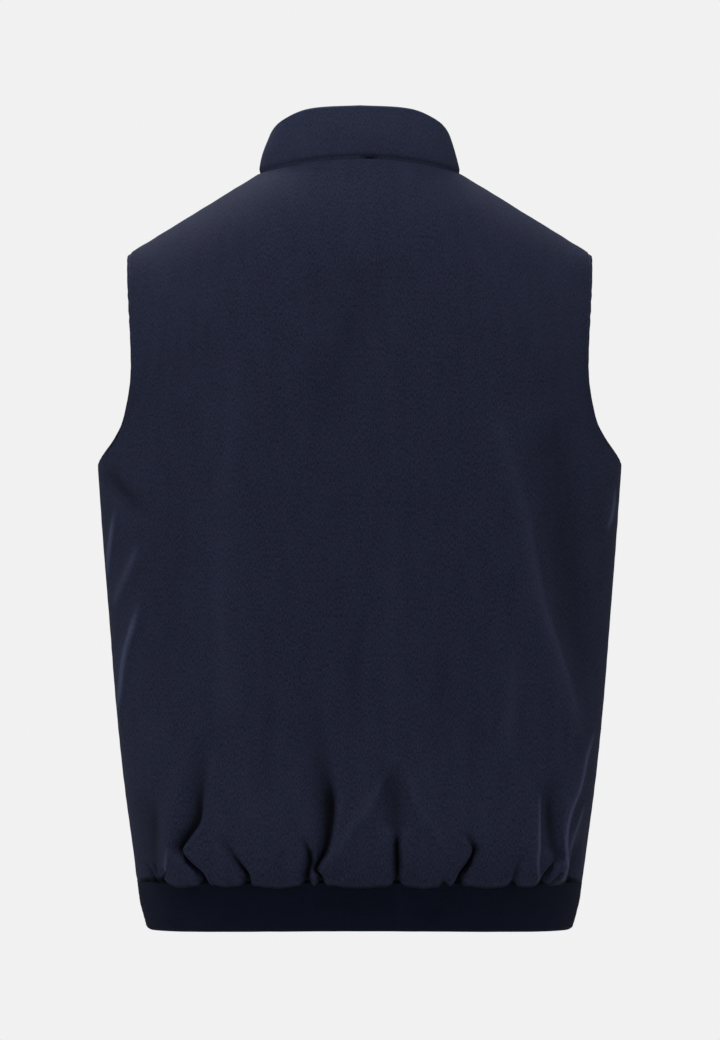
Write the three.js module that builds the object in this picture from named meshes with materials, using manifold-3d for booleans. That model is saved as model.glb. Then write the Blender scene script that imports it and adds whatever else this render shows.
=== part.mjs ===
// Padded sleeveless vest with a stand collar, a knit hem band and a centre front zip.
// Sizes are in millimetres and +Z is up. The fronts face -Y and the wearer's left is +X.
// The origin lies midway between the two points where the shoulder seams meet the collar.
import * as THREE from 'three';
import { mergeVertices } from 'three/addons/utils/BufferGeometryUtils.js';
import Module from 'manifold-3d';

// Cloth
const WALL = 4;
const COLLAR_WALL = 4;
const BAND_WALL = 4;
const SEAM_GAP = 0.3;

// Neck and shoulders
const NECK_HALF_WIDTH = 93;
const BACK_NECK_DEPTH = 55;
const FRONT_NECK_DEPTH = 84;
const SHOULDER_SLOPE = 0.613;
const SHOULDER_TIP_X = 214;
const TIP_ROUNDING = { from: 208, drop: 1.2 };

// Heights of the main seams
const UNDERARM_Z = -270;
const HEM_SEAM_Z = -644;
const BAND_BOTTOM_Z = -688.4;
const HEM_SAG = 5;

// Body sections: half width from the underarm down, depth behind and before the side seams
const SECTION_POWER = 2.4;
const HALF_WIDTHS = [
  { z: -690, half: 195.5 },
  { z: -664, half: 202.3 },
  { z: -646, half: 204.8 },
  { z: -631, half: 206.8 },
  { z: -557, half: 216.8 },
  { z: -484, half: 224.2 },
  { z: -410, half: 230 },
  { z: -337, half: 235.8 },
  { z: -270, half: 240.6 },
];
const DEPTHS = [
  { z: -690, back: 96, front: 96 },
  { z: -646, back: 104.5, front: 104.5 },
  { z: -636, back: 110, front: 109 },
  { z: -612, back: 113, front: 113 },
  { z: -560, back: 110, front: 113 },
  { z: -480, back: 108, front: 112 },
  { z: -370, back: 112, front: 116 },
  { z: -270, back: 116, front: 120 },
  { z: -170, back: 116, front: 119 },
  { z: -100, back: 111, front: 117 },
];

// Armhole edge, from the underarm to the shoulder tip
const ARMHOLE = [
  { z: -270, back: 240.6, front: 240.6 },
  { z: -266, back: 239, front: 238.4 },
  { z: -262, back: 235.6, front: 233.6 },
  { z: -254, back: 228.4, front: 224.4 },
  { z: -240, back: 220, front: 213 },
  { z: -226, back: 214.7, front: 205.2 },
  { z: -200, back: 209.3, front: 197.8 },
  { z: -173, back: 208.1, front: 195.4 },
  { z: -125, back: 210.8, front: 200.3 },
  { z: -98, back: 212.9, front: 208.6 },
  { z: -76, back: SHOULDER_TIP_X, front: SHOULDER_TIP_X },
];

// Each side of the body: how far down it rolls over the shoulder and how squarely, where its
// middle edge lies, and for its grid the height of one step below the roll and the share of
// the rows below the underarm
const ZIP_OPENING = 6.5;
const BACK = {
  name: 'back',
  sign: 1,
  roll: 130,
  power: 2,
  neck: BACK_NECK_DEPTH,
  middle: 0,
  belowRoll: 190,
  underarmShare: 0.63,
};
const FRONT = {
  name: 'front',
  sign: -1,
  roll: 240,
  power: 1.6,
  neck: FRONT_NECK_DEPTH,
  middle: ZIP_OPENING,
  belowRoll: 320,
  underarmShare: 0.62,
};

// Panel grids: cells across half the back, across one front, and up each panel
const BACK_HALF_CELLS = 32;
const FRONT_CELLS = 28;
const SIDE_ROWS = 20;
const ARMHOLE_ROWS = 16;
const ROW_GRADING = 1.35;
const NECK_SHARE = 0.5;

// Gathers into the hem band: where each meets the seam, where it dies out, how far it bows
// sideways, how high it rises, and its width and depth
const BACK_GATHERS = [
  { seam: 179, top: 184, bow: 0, rise: 26, width: 7, depth: 0.6 },
  { seam: 137, top: 140, bow: 16, rise: 100, width: 9, depth: 0.8 },
  { seam: 100, top: 118, bow: 0, rise: 38, width: 8, depth: 0.7 },
  { seam: 48, top: 48, bow: -2, rise: 38, width: 6.5, depth: 0.7 },
  { seam: 34, top: 31, bow: -6, rise: 98, width: 8, depth: 1 },
  { seam: -34, top: -34, bow: 0, rise: 78, width: 7, depth: 1 },
  { seam: -88, top: -91, bow: -12, rise: 52, width: 8, depth: 0.8 },
  { seam: -132, top: -145, bow: 0, rise: 30, width: 8, depth: 0.6 },
  { seam: -162, top: -184, bow: 0, rise: 40, width: 8, depth: 0.9 },
];
const FRONT_LEFT_GATHERS = [
  { seam: 28, top: 26, bow: 3, rise: 46, width: 8, depth: 0.8 },
  { seam: 71, top: 78, bow: -6, rise: 92, width: 9, depth: 1 },
  { seam: 108, top: 101, bow: 0, rise: 40, width: 8, depth: 0.7 },
  { seam: 146, top: 158, bow: 6, rise: 74, width: 8, depth: 0.9 },
  { seam: 178, top: 186, bow: 0, rise: 32, width: 7, depth: 0.6 },
];
const FRONT_RIGHT_GATHERS = [
  { seam: -33, top: -37, bow: -4, rise: 62, width: 8, depth: 0.9 },
  { seam: -64, top: -60, bow: 0, rise: 34, width: 7, depth: 0.7 },
  { seam: -101, top: -112, bow: 8, rise: 84, width: 9, depth: 1 },
  { seam: -139, top: -136, bow: 0, rise: 44, width: 8, depth: 0.8 },
  { seam: -174, top: -186, bow: 5, rise: 58, width: 8, depth: 0.8 },
];

// Long soft ridges of the hanging cloth: both ends on the panel, width and height
const BACK_RIDGES = [
  { x0: -151, z0: -300, x1: -192, z1: -500, width: 17, height: 3.5 },
  { x0: -216, z0: -505, x1: -185, z1: -632, width: 7, height: 4 },
  { x0: -165, z0: -570, x1: -161, z1: -638, width: 7, height: 3 },
  { x0: 221, z0: -300, x1: 226, z1: -360, width: 8, height: 3 },
  { x0: 203, z0: -340, x1: 219, z1: -380, width: 8, height: 2.5 },
  { x0: 199, z0: -386, x1: 217, z1: -480, width: 9, height: 3 },
];
const FRONT_LEFT_RIDGES = [
  { x0: 168, z0: -286, x1: 122, z1: -395, width: 15, height: 3.5 },
  { x0: 206, z0: -352, x1: 176, z1: -470, width: 11, height: 3 },
  { x0: 60, z0: -96, x1: 34, z1: -188, width: 14, height: 2 },
];
const FRONT_RIGHT_RIDGES = [
  { x0: -176, z0: -280, x1: -138, z1: -372, width: 14, height: 3.5 },
  { x0: -198, z0: -395, x1: -160, z1: -520, width: 12, height: 3 },
  { x0: -62, z0: -100, x1: -40, z1: -174, width: 13, height: 2 },
];

// Folds: a gather is wider by this share at its top, a ridge tapers by this power towards its
// ends, and neither reaches the side seam
const GATHER_SPREAD = 0.5;
const RIDGE_TAPER = 0.7;
const RIDGE_SIDE_FADE = 12;

// Cloth that puffs out between the gathers, and how far it hangs over the band
const PUFF = { height: 7, atSeam: 0.25, peak: 24, fade: 110, sideFade: 24 };
const OVERHANG = { drop: 3, from: 135, to: 165, rise: 10, held: 1.2 };

// Collar: the top ring is smaller than the neck seam and further forward
const COLLAR_TOP = { halfWidth: 83, back: 51, front: 66, shift: -4 };
const COLLAR_TOP_HEIGHTS = [
  { angle: 0, z: 59.6 },
  { angle: 35, z: 57.2 },
  { angle: 60, z: 48.2 },
  { angle: 75, z: 40.6 },
  { angle: 90, z: 32 },
  { angle: 120, z: 9 },
  { angle: 150, z: -18 },
  { angle: 180, z: -29 },
];
const COLLAR_ROWS = 6;
const COLLAR_BULGE = 1.6;
const NECK_AXIS = { y: -10, above: 40 };

// Hem band
const BAND_CELLS = 56;
const BAND_INSET = { side: 0.4, middle: WALL + SEAM_GAP };
const BAND_PROFILE = [
  { share: 0, inset: 1.2 },
  { share: 0.06, inset: 0.2 },
  { share: 0.2, inset: 0 },
  { share: 0.4, inset: 0 },
  { share: 0.6, inset: 0 },
  { share: 0.8, inset: 0 },
  { share: 1, inset: 0 },
];

// Zip: "below" and "above" are lengths left free at the lower and upper ends
const TAPE = { half: 16, thick: 1, middleGap: 0.2, behind: 0.4, below: 1, above: 2 };
const CHAIN = { half: 2.9, thick: 2.4, above: 3 };
const ZIP_BOX = { half: 4, tall: 10, thick: 3, below: 1.5 };

// Slider, and the shares of its half width at the foot and the head and of its height where
// it is widest
const SLIDER = { width: 9, tall: 12, thick: 1.7, belowTop: 13, clear: 0.4 };
const SLIDER_SHARES = { foot: 0.62, head: 0.45, widest: 0.45 };
const BRIDGE = { width: 2.4, tall: 9, high: 3.4, bar: 0.9, room: 0.8, sill: 0.2, corner: 1, windowCorner: 0.5 };

// Pull tab: a share of its half width below the window, reached between two lengths
const TAB = { width: 6, long: 24, thick: 1.2, bar: 1.2, narrow: 0.72, narrowFrom: 1, narrowTo: 4, corner: 2 };
const TAB_WINDOW = { width: 3.4, long: 5.2, corner: 0.6 };
const ARC_STEPS = 8;

// Colours
const SHELL = { color: 0x2a2d3d, roughness: 0.86, metalness: 0 };
const KNIT = { color: 0x14161f, roughness: 0.92, metalness: 0 };
const WOVEN_TAPE = { color: 0x171922, roughness: 0.8, metalness: 0 };
const DARK_METAL = { color: 0x3a3b40, roughness: 0.35, metalness: 1 };

const lerp = THREE.MathUtils.lerp;
const clamp = THREE.MathUtils.clamp;
const smooth = (t) => THREE.MathUtils.smoothstep(t, 0, 1);

// Smooth curve through one column of a table that is sorted by its key
function readTable(table, key, column, at) {
  const last = table.length - 1;
  const t = clamp(at, table[0][key], table[last][key]);
  let i = 0;
  while (i < last - 1 && t > table[i + 1][key]) i += 1;
  const slope = (k) => {
    const a = table[Math.max(k - 1, 0)];
    const b = table[Math.min(k + 1, last)];
    return (b[column] - a[column]) / (b[key] - a[key]);
  };
  const step = table[i + 1][key] - table[i][key];
  const s = (t - table[i][key]) / step;
  const h = s * s * (3 - 2 * s);
  return lerp(table[i][column], table[i + 1][column], h)
    + step * s * (1 - s) * ((1 - s) * slope(i) - s * slope(i + 1));
}

// Height of the hem seam, which hangs a little lower towards the side seams
const hemHeight = (x) => HEM_SEAM_Z - HEM_SAG * (x / SHOULDER_TIP_X) ** 2;

const halfWidthAt = (z) => readTable(HALF_WIDTHS, 'z', 'half', z);
const depthAt = (side, z) => readTable(DEPTHS, 'z', side.name, z);
const HEM_HALF_WIDTH = halfWidthAt(HEM_SEAM_Z);

// Share of the full depth that a section has at x
function sectionShare(x, half) {
  const s = Math.min(Math.abs(x) / half, 1);
  return (1 - s ** SECTION_POWER) ** (1 / SECTION_POWER);
}

// Height of the line over the shoulders: an arch inside the neck, straight to the tip
function shoulderLine(x) {
  const ax = Math.abs(x);
  if (ax < NECK_HALF_WIDTH) {
    const peak = SHOULDER_SLOPE * NECK_HALF_WIDTH / 2;
    return peak * (1 - (ax / NECK_HALF_WIDTH) ** 2);
  }
  const atTip = smooth((ax - TIP_ROUNDING.from) / (SHOULDER_TIP_X - TIP_ROUNDING.from));
  return -SHOULDER_SLOPE * (ax - NECK_HALF_WIDTH) - TIP_ROUNDING.drop * atTip;
}

// The body's surface. "down" is 0 on the shoulder line, 1 where the roll over the shoulder
// ends, and grows evenly with the height below that.
function surfacePoint(side, x, down) {
  let z = shoulderLine(x) - side.roll - (down - 1) * side.belowRoll;
  let roll = 1;
  if (down < 1) {
    const angle = Math.max(down, 0) * Math.PI / 2;
    z = shoulderLine(x) - side.roll * (1 - Math.cos(angle) ** (2 / side.power));
    roll = Math.sin(angle) ** (2 / side.power);
  }
  const y = depthAt(side, z) * sectionShare(x, halfWidthAt(z)) * roll;
  return new THREE.Vector3(x, side.sign * y, z);
}

function downFromHeight(side, x, z) {
  const drop = (shoulderLine(x) - z) / side.roll;
  if (drop >= 1) return 1 + (drop - 1) * side.roll / side.belowRoll;
  return Math.acos((1 - Math.max(drop, 0)) ** (side.power / 2)) / (Math.PI / 2);
}

function downFromDepth(side, x, y) {
  const full = depthAt(side, 0) * sectionShare(x, halfWidthAt(0));
  return Math.asin(Math.min(y / full, 1) ** (side.power / 2)) / (Math.PI / 2);
}

// Even steps along a run of points: returns a function from 0..1 to the row there
function evenAlong(points, rows) {
  const lengths = [0];
  for (let i = 1; i < points.length; i += 1) {
    lengths.push(lengths[i - 1] + points[i].distanceTo(points[i - 1]));
  }
  return (share) => {
    const target = share * lengths[lengths.length - 1];
    let i = 1;
    while (i < points.length - 1 && lengths[i] < target) i += 1;
    const t = (target - lengths[i - 1]) / (lengths[i] - lengths[i - 1]);
    return { x: lerp(rows[i - 1].x, rows[i].x, t), z: lerp(rows[i - 1].z, rows[i].z, t) };
  };
}

function armholeCurve(side) {
  const rows = [];
  const steps = 120;
  for (let i = 0; i <= steps; i += 1) {
    const share = (1 - Math.cos(Math.PI * i / steps)) / 2;
    const z = lerp(UNDERARM_Z, shoulderLine(SHOULDER_TIP_X), share);
    rows.push({ x: readTable(ARMHOLE, 'z', side.name, z), z });
  }
  const points = rows.map((row) => surfacePoint(side, row.x, downFromHeight(side, row.x, row.z)));
  return evenAlong(points, rows);
}
const ARMHOLES = { back: armholeCurve(BACK), front: armholeCurve(FRONT) };

// Share of the half width that each column has in a full section, in even steps round it
function sideSpreadCurve() {
  const half = halfWidthAt(UNDERARM_Z);
  const depth = depthAt(BACK, UNDERARM_Z);
  const rows = [];
  const steps = 160;
  for (let i = 0; i <= steps; i += 1) {
    rows.push({ x: Math.sin(Math.PI / 2 * i / steps), z: 0 });
  }
  const points = rows.map((row) => {
    return new THREE.Vector3(row.x * half, depth * sectionShare(row.x * half, half), 0);
  });
  return evenAlong(points, rows);
}
const sideSpread = sideSpreadCurve();

// Top edge of a panel: round the neck, then along the shoulder
function topEdge(side, u) {
  if (u <= NECK_SHARE) {
    const start = Math.asin(side.middle / NECK_HALF_WIDTH);
    const angle = lerp(start, Math.PI / 2, u / NECK_SHARE);
    const x = NECK_HALF_WIDTH * Math.sin(angle);
    return { x, down: downFromDepth(side, x, Math.max(side.neck * Math.cos(angle), 0)) };
  }
  return { x: lerp(NECK_HALF_WIDTH, SHOULDER_TIP_X, (u - NECK_SHARE) / (1 - NECK_SHARE)), down: 0 };
}

// Outer edge of a panel: up the side seam, then round the armhole
function sideEdge(side, v) {
  let row = null;
  if (v <= side.underarmShare) {
    const z = lerp(hemHeight(HEM_HALF_WIDTH), UNDERARM_Z, v / side.underarmShare);
    row = { x: halfWidthAt(z), z };
  } else {
    row = ARMHOLES[side.name]((v - side.underarmShare) / (1 - side.underarmShare));
  }
  return { x: row.x, down: downFromHeight(side, row.x, row.z) };
}

// A point of a panel: u runs from the middle to the outer edge, v from the hem to the top
function panelPoint(side, u, v) {
  const across = Math.abs(u);
  const edge = sideEdge(side, v);
  const top = topEdge(side, across);
  const above = smooth((v - side.underarmShare) / (1 - side.underarmShare));
  const topSpread = (top.x - side.middle) / (SHOULDER_TIP_X - side.middle);
  const spread = lerp(sideSpread(across).x, topSpread, above);
  const x = side.middle + (edge.x - side.middle) * spread;

  const hemX = side.middle + (HEM_HALF_WIDTH - side.middle) * sideSpread(across).x;
  const hemDown = downFromHeight(side, hemX, hemHeight(hemX));
  const edgeHemDown = downFromHeight(side, HEM_HALF_WIDTH, hemHeight(HEM_HALF_WIDTH));
  const bend = edge.down - lerp(edgeHemDown, 0, v);
  const down = lerp(hemDown, top.down, v) + bend * across ** 2;
  const point = surfacePoint(side, x, Math.max(down, 0));
  point.x *= u < 0 ? -1 : 1;
  return point;
}

// Outward direction of the panel's surface. On the side and shoulder seams it has no part
// along Y, so that the two panels' walls meet face to face.
const BODY_CENTRE = new THREE.Vector3(0, 0, -300);
const NEARLY = 1e-6;
function panelNormal(side, u, v) {
  const step = 0.004;
  const u0 = Math.max(u - step, side === BACK ? -1 : 0);
  const u1 = Math.min(u + step, 1);
  const along = panelPoint(side, u1, v).sub(panelPoint(side, u0, v));
  const up = panelPoint(side, u, Math.min(v + step, 1)).sub(panelPoint(side, u, Math.max(v - step, 0)));
  const onSideSeam = Math.abs(u) > 1 - NEARLY && v <= side.underarmShare + NEARLY;
  const onShoulder = Math.abs(u) >= NECK_SHARE - NEARLY && v > 1 - NEARLY;
  const normal = onSideSeam ? new THREE.Vector3(up.z, 0, -up.x) : along.cross(up);
  const outward = panelPoint(side, u, v).sub(BODY_CENTRE);
  if (normal.dot(outward) < 0) normal.negate();
  if (onShoulder) normal.setY(0);
  return normal.normalize();
}

// How deep a gather is cut into the puffed cloth at a point, from 0 to its depth
function gatherCut(row, x, rise) {
  const share = clamp(rise / row.rise, 0, 1);
  const path = lerp(row.seam, row.top, share) + row.bow * 4 * share * (1 - share);
  const width = row.width * (1 + GATHER_SPREAD * share);
  return row.depth * (1 - smooth(share)) * Math.exp(-(((x - path) / width) ** 2));
}

function ridgeHeight(row, x, z) {
  const span = new THREE.Vector2(row.x1 - row.x0, row.z1 - row.z0);
  const from = new THREE.Vector2(x - row.x0, z - row.z0);
  const along = clamp(from.dot(span) / span.lengthSq(), 0, 1);
  const away = from.addScaledVector(span, -along).length() / row.width;
  const taper = Math.max(Math.sin(Math.PI * along), 0) ** RIDGE_TAPER;
  return row.height * taper * Math.exp(-(away ** 2));
}

// How deep the deepest gather at a point is cut
function deepestCut(folds, x, rise) {
  return Math.max(...folds.gathers.map((row) => gatherCut(row, x, rise)));
}

// Height of the cloth's folds over its plain surface
function foldHeight(folds, point) {
  const rise = point.z - hemHeight(point.x);
  const fromSide = halfWidthAt(point.z) - Math.abs(point.x);
  const swell = lerp(PUFF.atSeam, 1, smooth(rise / PUFF.peak));
  const fade = (1 - smooth((rise - PUFF.peak) / PUFF.fade)) * smooth(fromSide / PUFF.sideFade);
  const puff = PUFF.height * swell * fade * (1 - deepestCut(folds, point.x, rise));
  let ridge = 0;
  for (const row of folds.ridges) ridge += ridgeHeight(row, point.x, point.z);
  return puff + ridge * smooth(fromSide / RIDGE_SIDE_FADE);
}

// How far the cloth's lower edge hangs over the band between two gathers
function overhang(folds, point) {
  const rise = point.z - hemHeight(point.x);
  const inside = 1 - smooth((Math.abs(point.x) - OVERHANG.from) / (OVERHANG.to - OVERHANG.from));
  const held = Math.min(deepestCut(folds, point.x, 0) * OVERHANG.held, 1);
  return OVERHANG.drop * inside * (1 - held) * (1 - smooth(rise / OVERHANG.rise));
}

// A closed wall from a grid of outer points and one of inner points. The plain inside uses
// every second point.
function wallSolid(outer, inner) {
  const rows = outer.length - 1;
  const columns = outer[0].length - 1;
  const positions = [];
  const outerAt = [];
  const innerAt = [];
  const add = (point) => {
    positions.push(point.x, point.y, point.z);
    return positions.length / 3 - 1;
  };
  for (let j = 0; j <= rows; j += 1) {
    outerAt.push(outer[j].map(add));
    innerAt.push(inner[j].map((point, i) => (i % 2 === 0 && j % 2 === 0 ? add(point) : -1)));
  }
  const faces = [];
  for (let j = 0; j < rows; j += 1) {
    for (let i = 0; i < columns; i += 1) {
      faces.push([outerAt[j][i], outerAt[j][i + 1], outerAt[j + 1][i + 1]]);
      faces.push([outerAt[j][i], outerAt[j + 1][i + 1], outerAt[j + 1][i]]);
    }
  }
  for (let j = 0; j < rows; j += 2) {
    for (let i = 0; i < columns; i += 2) {
      faces.push([innerAt[j][i], innerAt[j + 2][i + 2], innerAt[j][i + 2]]);
      faces.push([innerAt[j][i], innerAt[j + 2][i], innerAt[j + 2][i + 2]]);
    }
  }
  const border = [];
  for (let i = 0; i < columns; i += 1) border.push([0, i]);
  for (let j = 0; j < rows; j += 1) border.push([j, columns]);
  for (let i = columns; i > 0; i -= 1) border.push([rows, i]);
  for (let j = rows; j > 0; j -= 1) border.push([j, 0]);
  for (let k = 0; k < border.length; k += 2) {
    const [aj, ai] = border[k];
    const [bj, bi] = border[k + 1];
    const [cj, ci] = border[(k + 2) % border.length];
    const a = outerAt[aj][ai];
    const b = outerAt[bj][bi];
    const c = outerAt[cj][ci];
    faces.push([b, a, innerAt[aj][ai]]);
    faces.push([b, innerAt[aj][ai], innerAt[cj][ci]]);
    faces.push([c, b, innerAt[cj][ci]]);
  }
  return closedGeometry(positions, faces);
}

// Geometry from points and faces, turned so that its faces point out
function closedGeometry(positions, faces) {
  const at = (k) => new THREE.Vector3(positions[3 * k], positions[3 * k + 1], positions[3 * k + 2]);
  let volume = 0;
  for (const [a, b, c] of faces) volume += at(a).dot(at(b).cross(at(c)));
  const index = faces.flatMap(([a, b, c]) => (volume > 0 ? [a, b, c] : [a, c, b]));
  const geometry = new THREE.BufferGeometry();
  geometry.setAttribute('position', new THREE.Float32BufferAttribute(positions, 3));
  geometry.setIndex(index);
  geometry.computeVertexNormals();
  return geometry;
}

function namedMesh(name, geometry, finish) {
  const mesh = new THREE.Mesh(geometry, new THREE.MeshStandardMaterial(finish));
  mesh.name = name;
  return mesh;
}

// Rows of a panel, closer together near the hem
function panelRows(side) {
  const rows = [];
  for (let k = 0; k <= SIDE_ROWS; k += 1) {
    rows.push(side.underarmShare * (k / SIDE_ROWS) ** ROW_GRADING);
  }
  for (let k = 1; k <= ARMHOLE_ROWS; k += 1) {
    rows.push(lerp(side.underarmShare, 1, k / ARMHOLE_ROWS));
  }
  return rows;
}

// One body panel between two values of u. The seam gap parts it from its neighbour.
function panelGrids(side, columns, mirror, folds) {
  const outer = [];
  const inner = [];
  for (const v of panelRows(side)) {
    const outerRow = [];
    const innerRow = [];
    for (const u of columns) {
      const base = panelPoint(side, u, v);
      const normal = panelNormal(side, u, v);
      base.y += side.sign * SEAM_GAP / 2;
      if (mirror) {
        base.x *= -1;
        normal.x *= -1;
      }
      const raised = base.clone().addScaledVector(normal, foldHeight(folds, base));
      raised.z -= overhang(folds, base);
      outerRow.push(raised);
      innerRow.push(base.clone().addScaledVector(normal, -WALL));
    }
    outer.push(outerRow);
    inner.push(innerRow);
  }
  return { outer, inner };
}

function evenColumns(from, to, cells) {
  return Array.from({ length: cells + 1 }, (_, i) => lerp(from, to, i / cells));
}
const BACK_FOLDS = { gathers: BACK_GATHERS, ridges: BACK_RIDGES };
const LEFT_FOLDS = { gathers: FRONT_LEFT_GATHERS, ridges: FRONT_LEFT_RIDGES };
const RIGHT_FOLDS = { gathers: FRONT_RIGHT_GATHERS, ridges: FRONT_RIGHT_RIDGES };
const backGrids = panelGrids(BACK, evenColumns(-1, 1, 2 * BACK_HALF_CELLS), false, BACK_FOLDS);
const leftGrids = panelGrids(FRONT, evenColumns(0, 1, FRONT_CELLS), false, LEFT_FOLDS);
const rightGrids = panelGrids(FRONT, evenColumns(0, 1, FRONT_CELLS), true, RIGHT_FOLDS);

// The neck seam as one ring of wall edges, from the left front edge round the back
function neckRing() {
  const top = SIDE_ROWS + ARMHOLE_ROWS;
  const frontCells = FRONT_CELLS * NECK_SHARE;
  const backCells = BACK_HALF_CELLS * NECK_SHARE;
  const ring = [];
  const take = (grids, i) => ring.push({ outer: grids.outer[top][i], inner: grids.inner[top][i] });
  for (let i = 0; i < frontCells; i += 1) take(leftGrids, i);
  for (let i = backCells; i >= -backCells; i -= 1) take(backGrids, BACK_HALF_CELLS + i);
  for (let i = frontCells - 1; i >= 0; i -= 1) take(rightGrids, i);
  return ring;
}

// Angle round the neck, 0 at the centre back and 180 degrees at the centre front
function ringAngle(point) {
  const depth = point.y > 0 ? BACK_NECK_DEPTH : FRONT_NECK_DEPTH;
  return Math.atan2(Math.abs(point.x) / NECK_HALF_WIDTH, point.y / depth);
}

function collarTopPoint(point) {
  const angle = ringAngle(point);
  const depth = angle < Math.PI / 2 ? COLLAR_TOP.back : COLLAR_TOP.front;
  const x = COLLAR_TOP.halfWidth * Math.sin(angle) * Math.sign(point.x);
  const z = readTable(COLLAR_TOP_HEIGHTS, 'angle', 'z', THREE.MathUtils.radToDeg(angle));
  return new THREE.Vector3(x, depth * Math.cos(angle) + COLLAR_TOP.shift, z);
}

// Stand collar: its lower edge follows the neck seam and its wall leans in
function collarGrids() {
  const ring = neckRing();
  const count = ring.length;
  const outer = [];
  const inner = [];
  for (let j = 0; j <= COLLAR_ROWS; j += 1) {
    outer.push([]);
    inner.push([]);
  }
  for (let i = 0; i < count; i += 1) {
    const here = ring[i];
    const tangent = ring[Math.min(i + 1, count - 1)].outer.clone().sub(ring[Math.max(i - 1, 0)].outer);
    const wall = here.outer.clone().sub(here.inner).normalize();
    const inward = tangent.clone().cross(wall).normalize();
    const axis = new THREE.Vector3(0, NECK_AXIS.y, here.outer.z + NECK_AXIS.above);
    if (inward.dot(axis.clone().sub(here.outer)) < 0) inward.negate();
    const bottom = here.outer.clone().addScaledVector(inward, SEAM_GAP);
    const bottomInner = here.inner.clone().addScaledVector(inward, SEAM_GAP);
    const top = collarTopPoint(here.outer);
    if (i === 0 || i === count - 1) top.x = Math.sign(here.outer.x) * ZIP_OPENING;
    const rise = top.clone().sub(bottom);
    const facing = tangent.clone().cross(rise).normalize();
    if (facing.dot(bottom.clone().sub(axis).setZ(0)) < 0) facing.negate();
    for (let j = 0; j <= COLLAR_ROWS; j += 1) {
      const share = j / COLLAR_ROWS;
      const bulge = COLLAR_BULGE * Math.sin(Math.PI * share);
      const point = bottom.clone().addScaledVector(rise, share).addScaledVector(facing, bulge);
      const back = point.clone().addScaledVector(facing, -COLLAR_WALL);
      outer[j].push(point);
      inner[j].push(back.lerp(bottomInner, 1 - smooth(Math.min(share * 2, 1))));
    }
  }
  return { outer, inner };
}
const collar = collarGrids();

// Knit hem band: it starts just below the seam and lies inside the panels' lower edge
function bandGrids() {
  const outer = [];
  const inner = [];
  const cellsPerSide = BAND_CELLS / 4;
  for (const row of BAND_PROFILE) {
    const level = lerp(BAND_BOTTOM_Z, HEM_SEAM_Z - SEAM_GAP, row.share);
    const outerRow = [];
    const innerRow = [];
    for (let i = 0; i <= BAND_CELLS; i += 1) {
      const turn = (i - BAND_CELLS / 2) / cellsPerSide;
      const side = Math.abs(turn) <= 1 ? BACK : FRONT;
      const across = side === BACK ? Math.abs(turn) : 2 - Math.abs(turn);
      const place = (inset) => {
        const half = halfWidthAt(level) - BAND_INSET.side - inset;
        const depth = depthAt(side, level) - BAND_INSET.middle - inset;
        const x = side.middle + (half - side.middle) * sideSpread(across).x;
        const y = side.sign * depth * sectionShare(x, half);
        return new THREE.Vector3(turn < 0 ? -x : x, y, level + hemHeight(x) - HEM_SEAM_Z);
      };
      outerRow.push(place(row.inset));
      innerRow.push(place(BAND_WALL - row.inset));
    }
    outer.push(outerRow);
    inner.push(innerRow);
  }
  return { outer, inner };
}
const band = bandGrids();

// Line down the inside of the front edges, from the band's bottom to the collar's top. It is
// read where the outer edge of a tape lies, because the walls bend away from the middle there.
// The panel's rows just above the hem seam are left out, so that the line runs straight past it.
const FIRST_PANEL_ROW = 4;
function zipLine() {
  const line = [];
  const add = (row, near, far) => {
    const share = (TAPE.half - row[near].x) / (row[far].x - row[near].x);
    const point = row[near].clone().lerp(row[far], share);
    line.push(new THREE.Vector2(point.y, point.z));
  };
  for (let j = 0; j < band.inner.length; j += 2) add(band.inner[j], BAND_CELLS, BAND_CELLS - 2);
  const rows = leftGrids.inner.length - 1;
  for (let j = FIRST_PANEL_ROW; j <= rows; j += 2) add(leftGrids.inner[j], 0, 2);
  for (let j = 2; j <= COLLAR_ROWS; j += 2) add(collar.inner[j], 0, 2);
  return line;
}
const ZIP_LINE = zipLine();

// Directions along the zip line: outwards at each of its points
function zipNormals(line) {
  return line.map((point, i) => {
    const before = line[Math.max(i - 1, 0)];
    const after = line[Math.min(i + 1, line.length - 1)];
    const along = after.clone().sub(before).normalize();
    const toNext = (i < line.length - 1 ? after.clone().sub(point) : point.clone().sub(before));
    const mitre = toNext.normalize().dot(along);
    return new THREE.Vector2(-along.y, along.x).divideScalar(mitre);
  });
}

// A strip of rectangular section along part of the zip line
function zipStrip(line, x0, x1, front, back) {
  const normals = zipNormals(line);
  const positions = [];
  const faces = [];
  line.forEach((point, i) => {
    const normal = normals[i];
    for (const [x, out] of [[x0, front], [x1, front], [x1, back], [x0, back]]) {
      positions.push(x, point.x + normal.x * out, point.y + normal.y * out);
    }
  });
  const last = line.length - 1;
  for (let i = 0; i < last; i += 1) {
    for (let k = 0; k < 4; k += 1) {
      const a = 4 * i + k;
      const b = 4 * i + (k + 1) % 4;
      faces.push([a, b, b + 4], [a, b + 4, a + 4]);
    }
  }
  faces.push([0, 2, 1], [0, 3, 2]);
  const end = 4 * last;
  faces.push([end, end + 1, end + 2], [end, end + 2, end + 3]);
  return closedGeometry(positions, faces);
}

// Part of the zip line between two lengths measured from its lower end
function cutLine(line, from, to) {
  const result = [];
  let travelled = 0;
  const total = lineLength(line);
  const end = Math.min(to, total);
  for (let i = 1; i < line.length; i += 1) {
    const length = line[i].distanceTo(line[i - 1]);
    const start = travelled;
    travelled += length;
    if (travelled <= from || start >= end) continue;
    if (result.length === 0) {
      result.push(line[i - 1].clone().lerp(line[i], (from - start) / length));
    }
    const share = Math.min((end - start) / length, 1);
    result.push(line[i - 1].clone().lerp(line[i], share));
  }
  return result;
}

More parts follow.
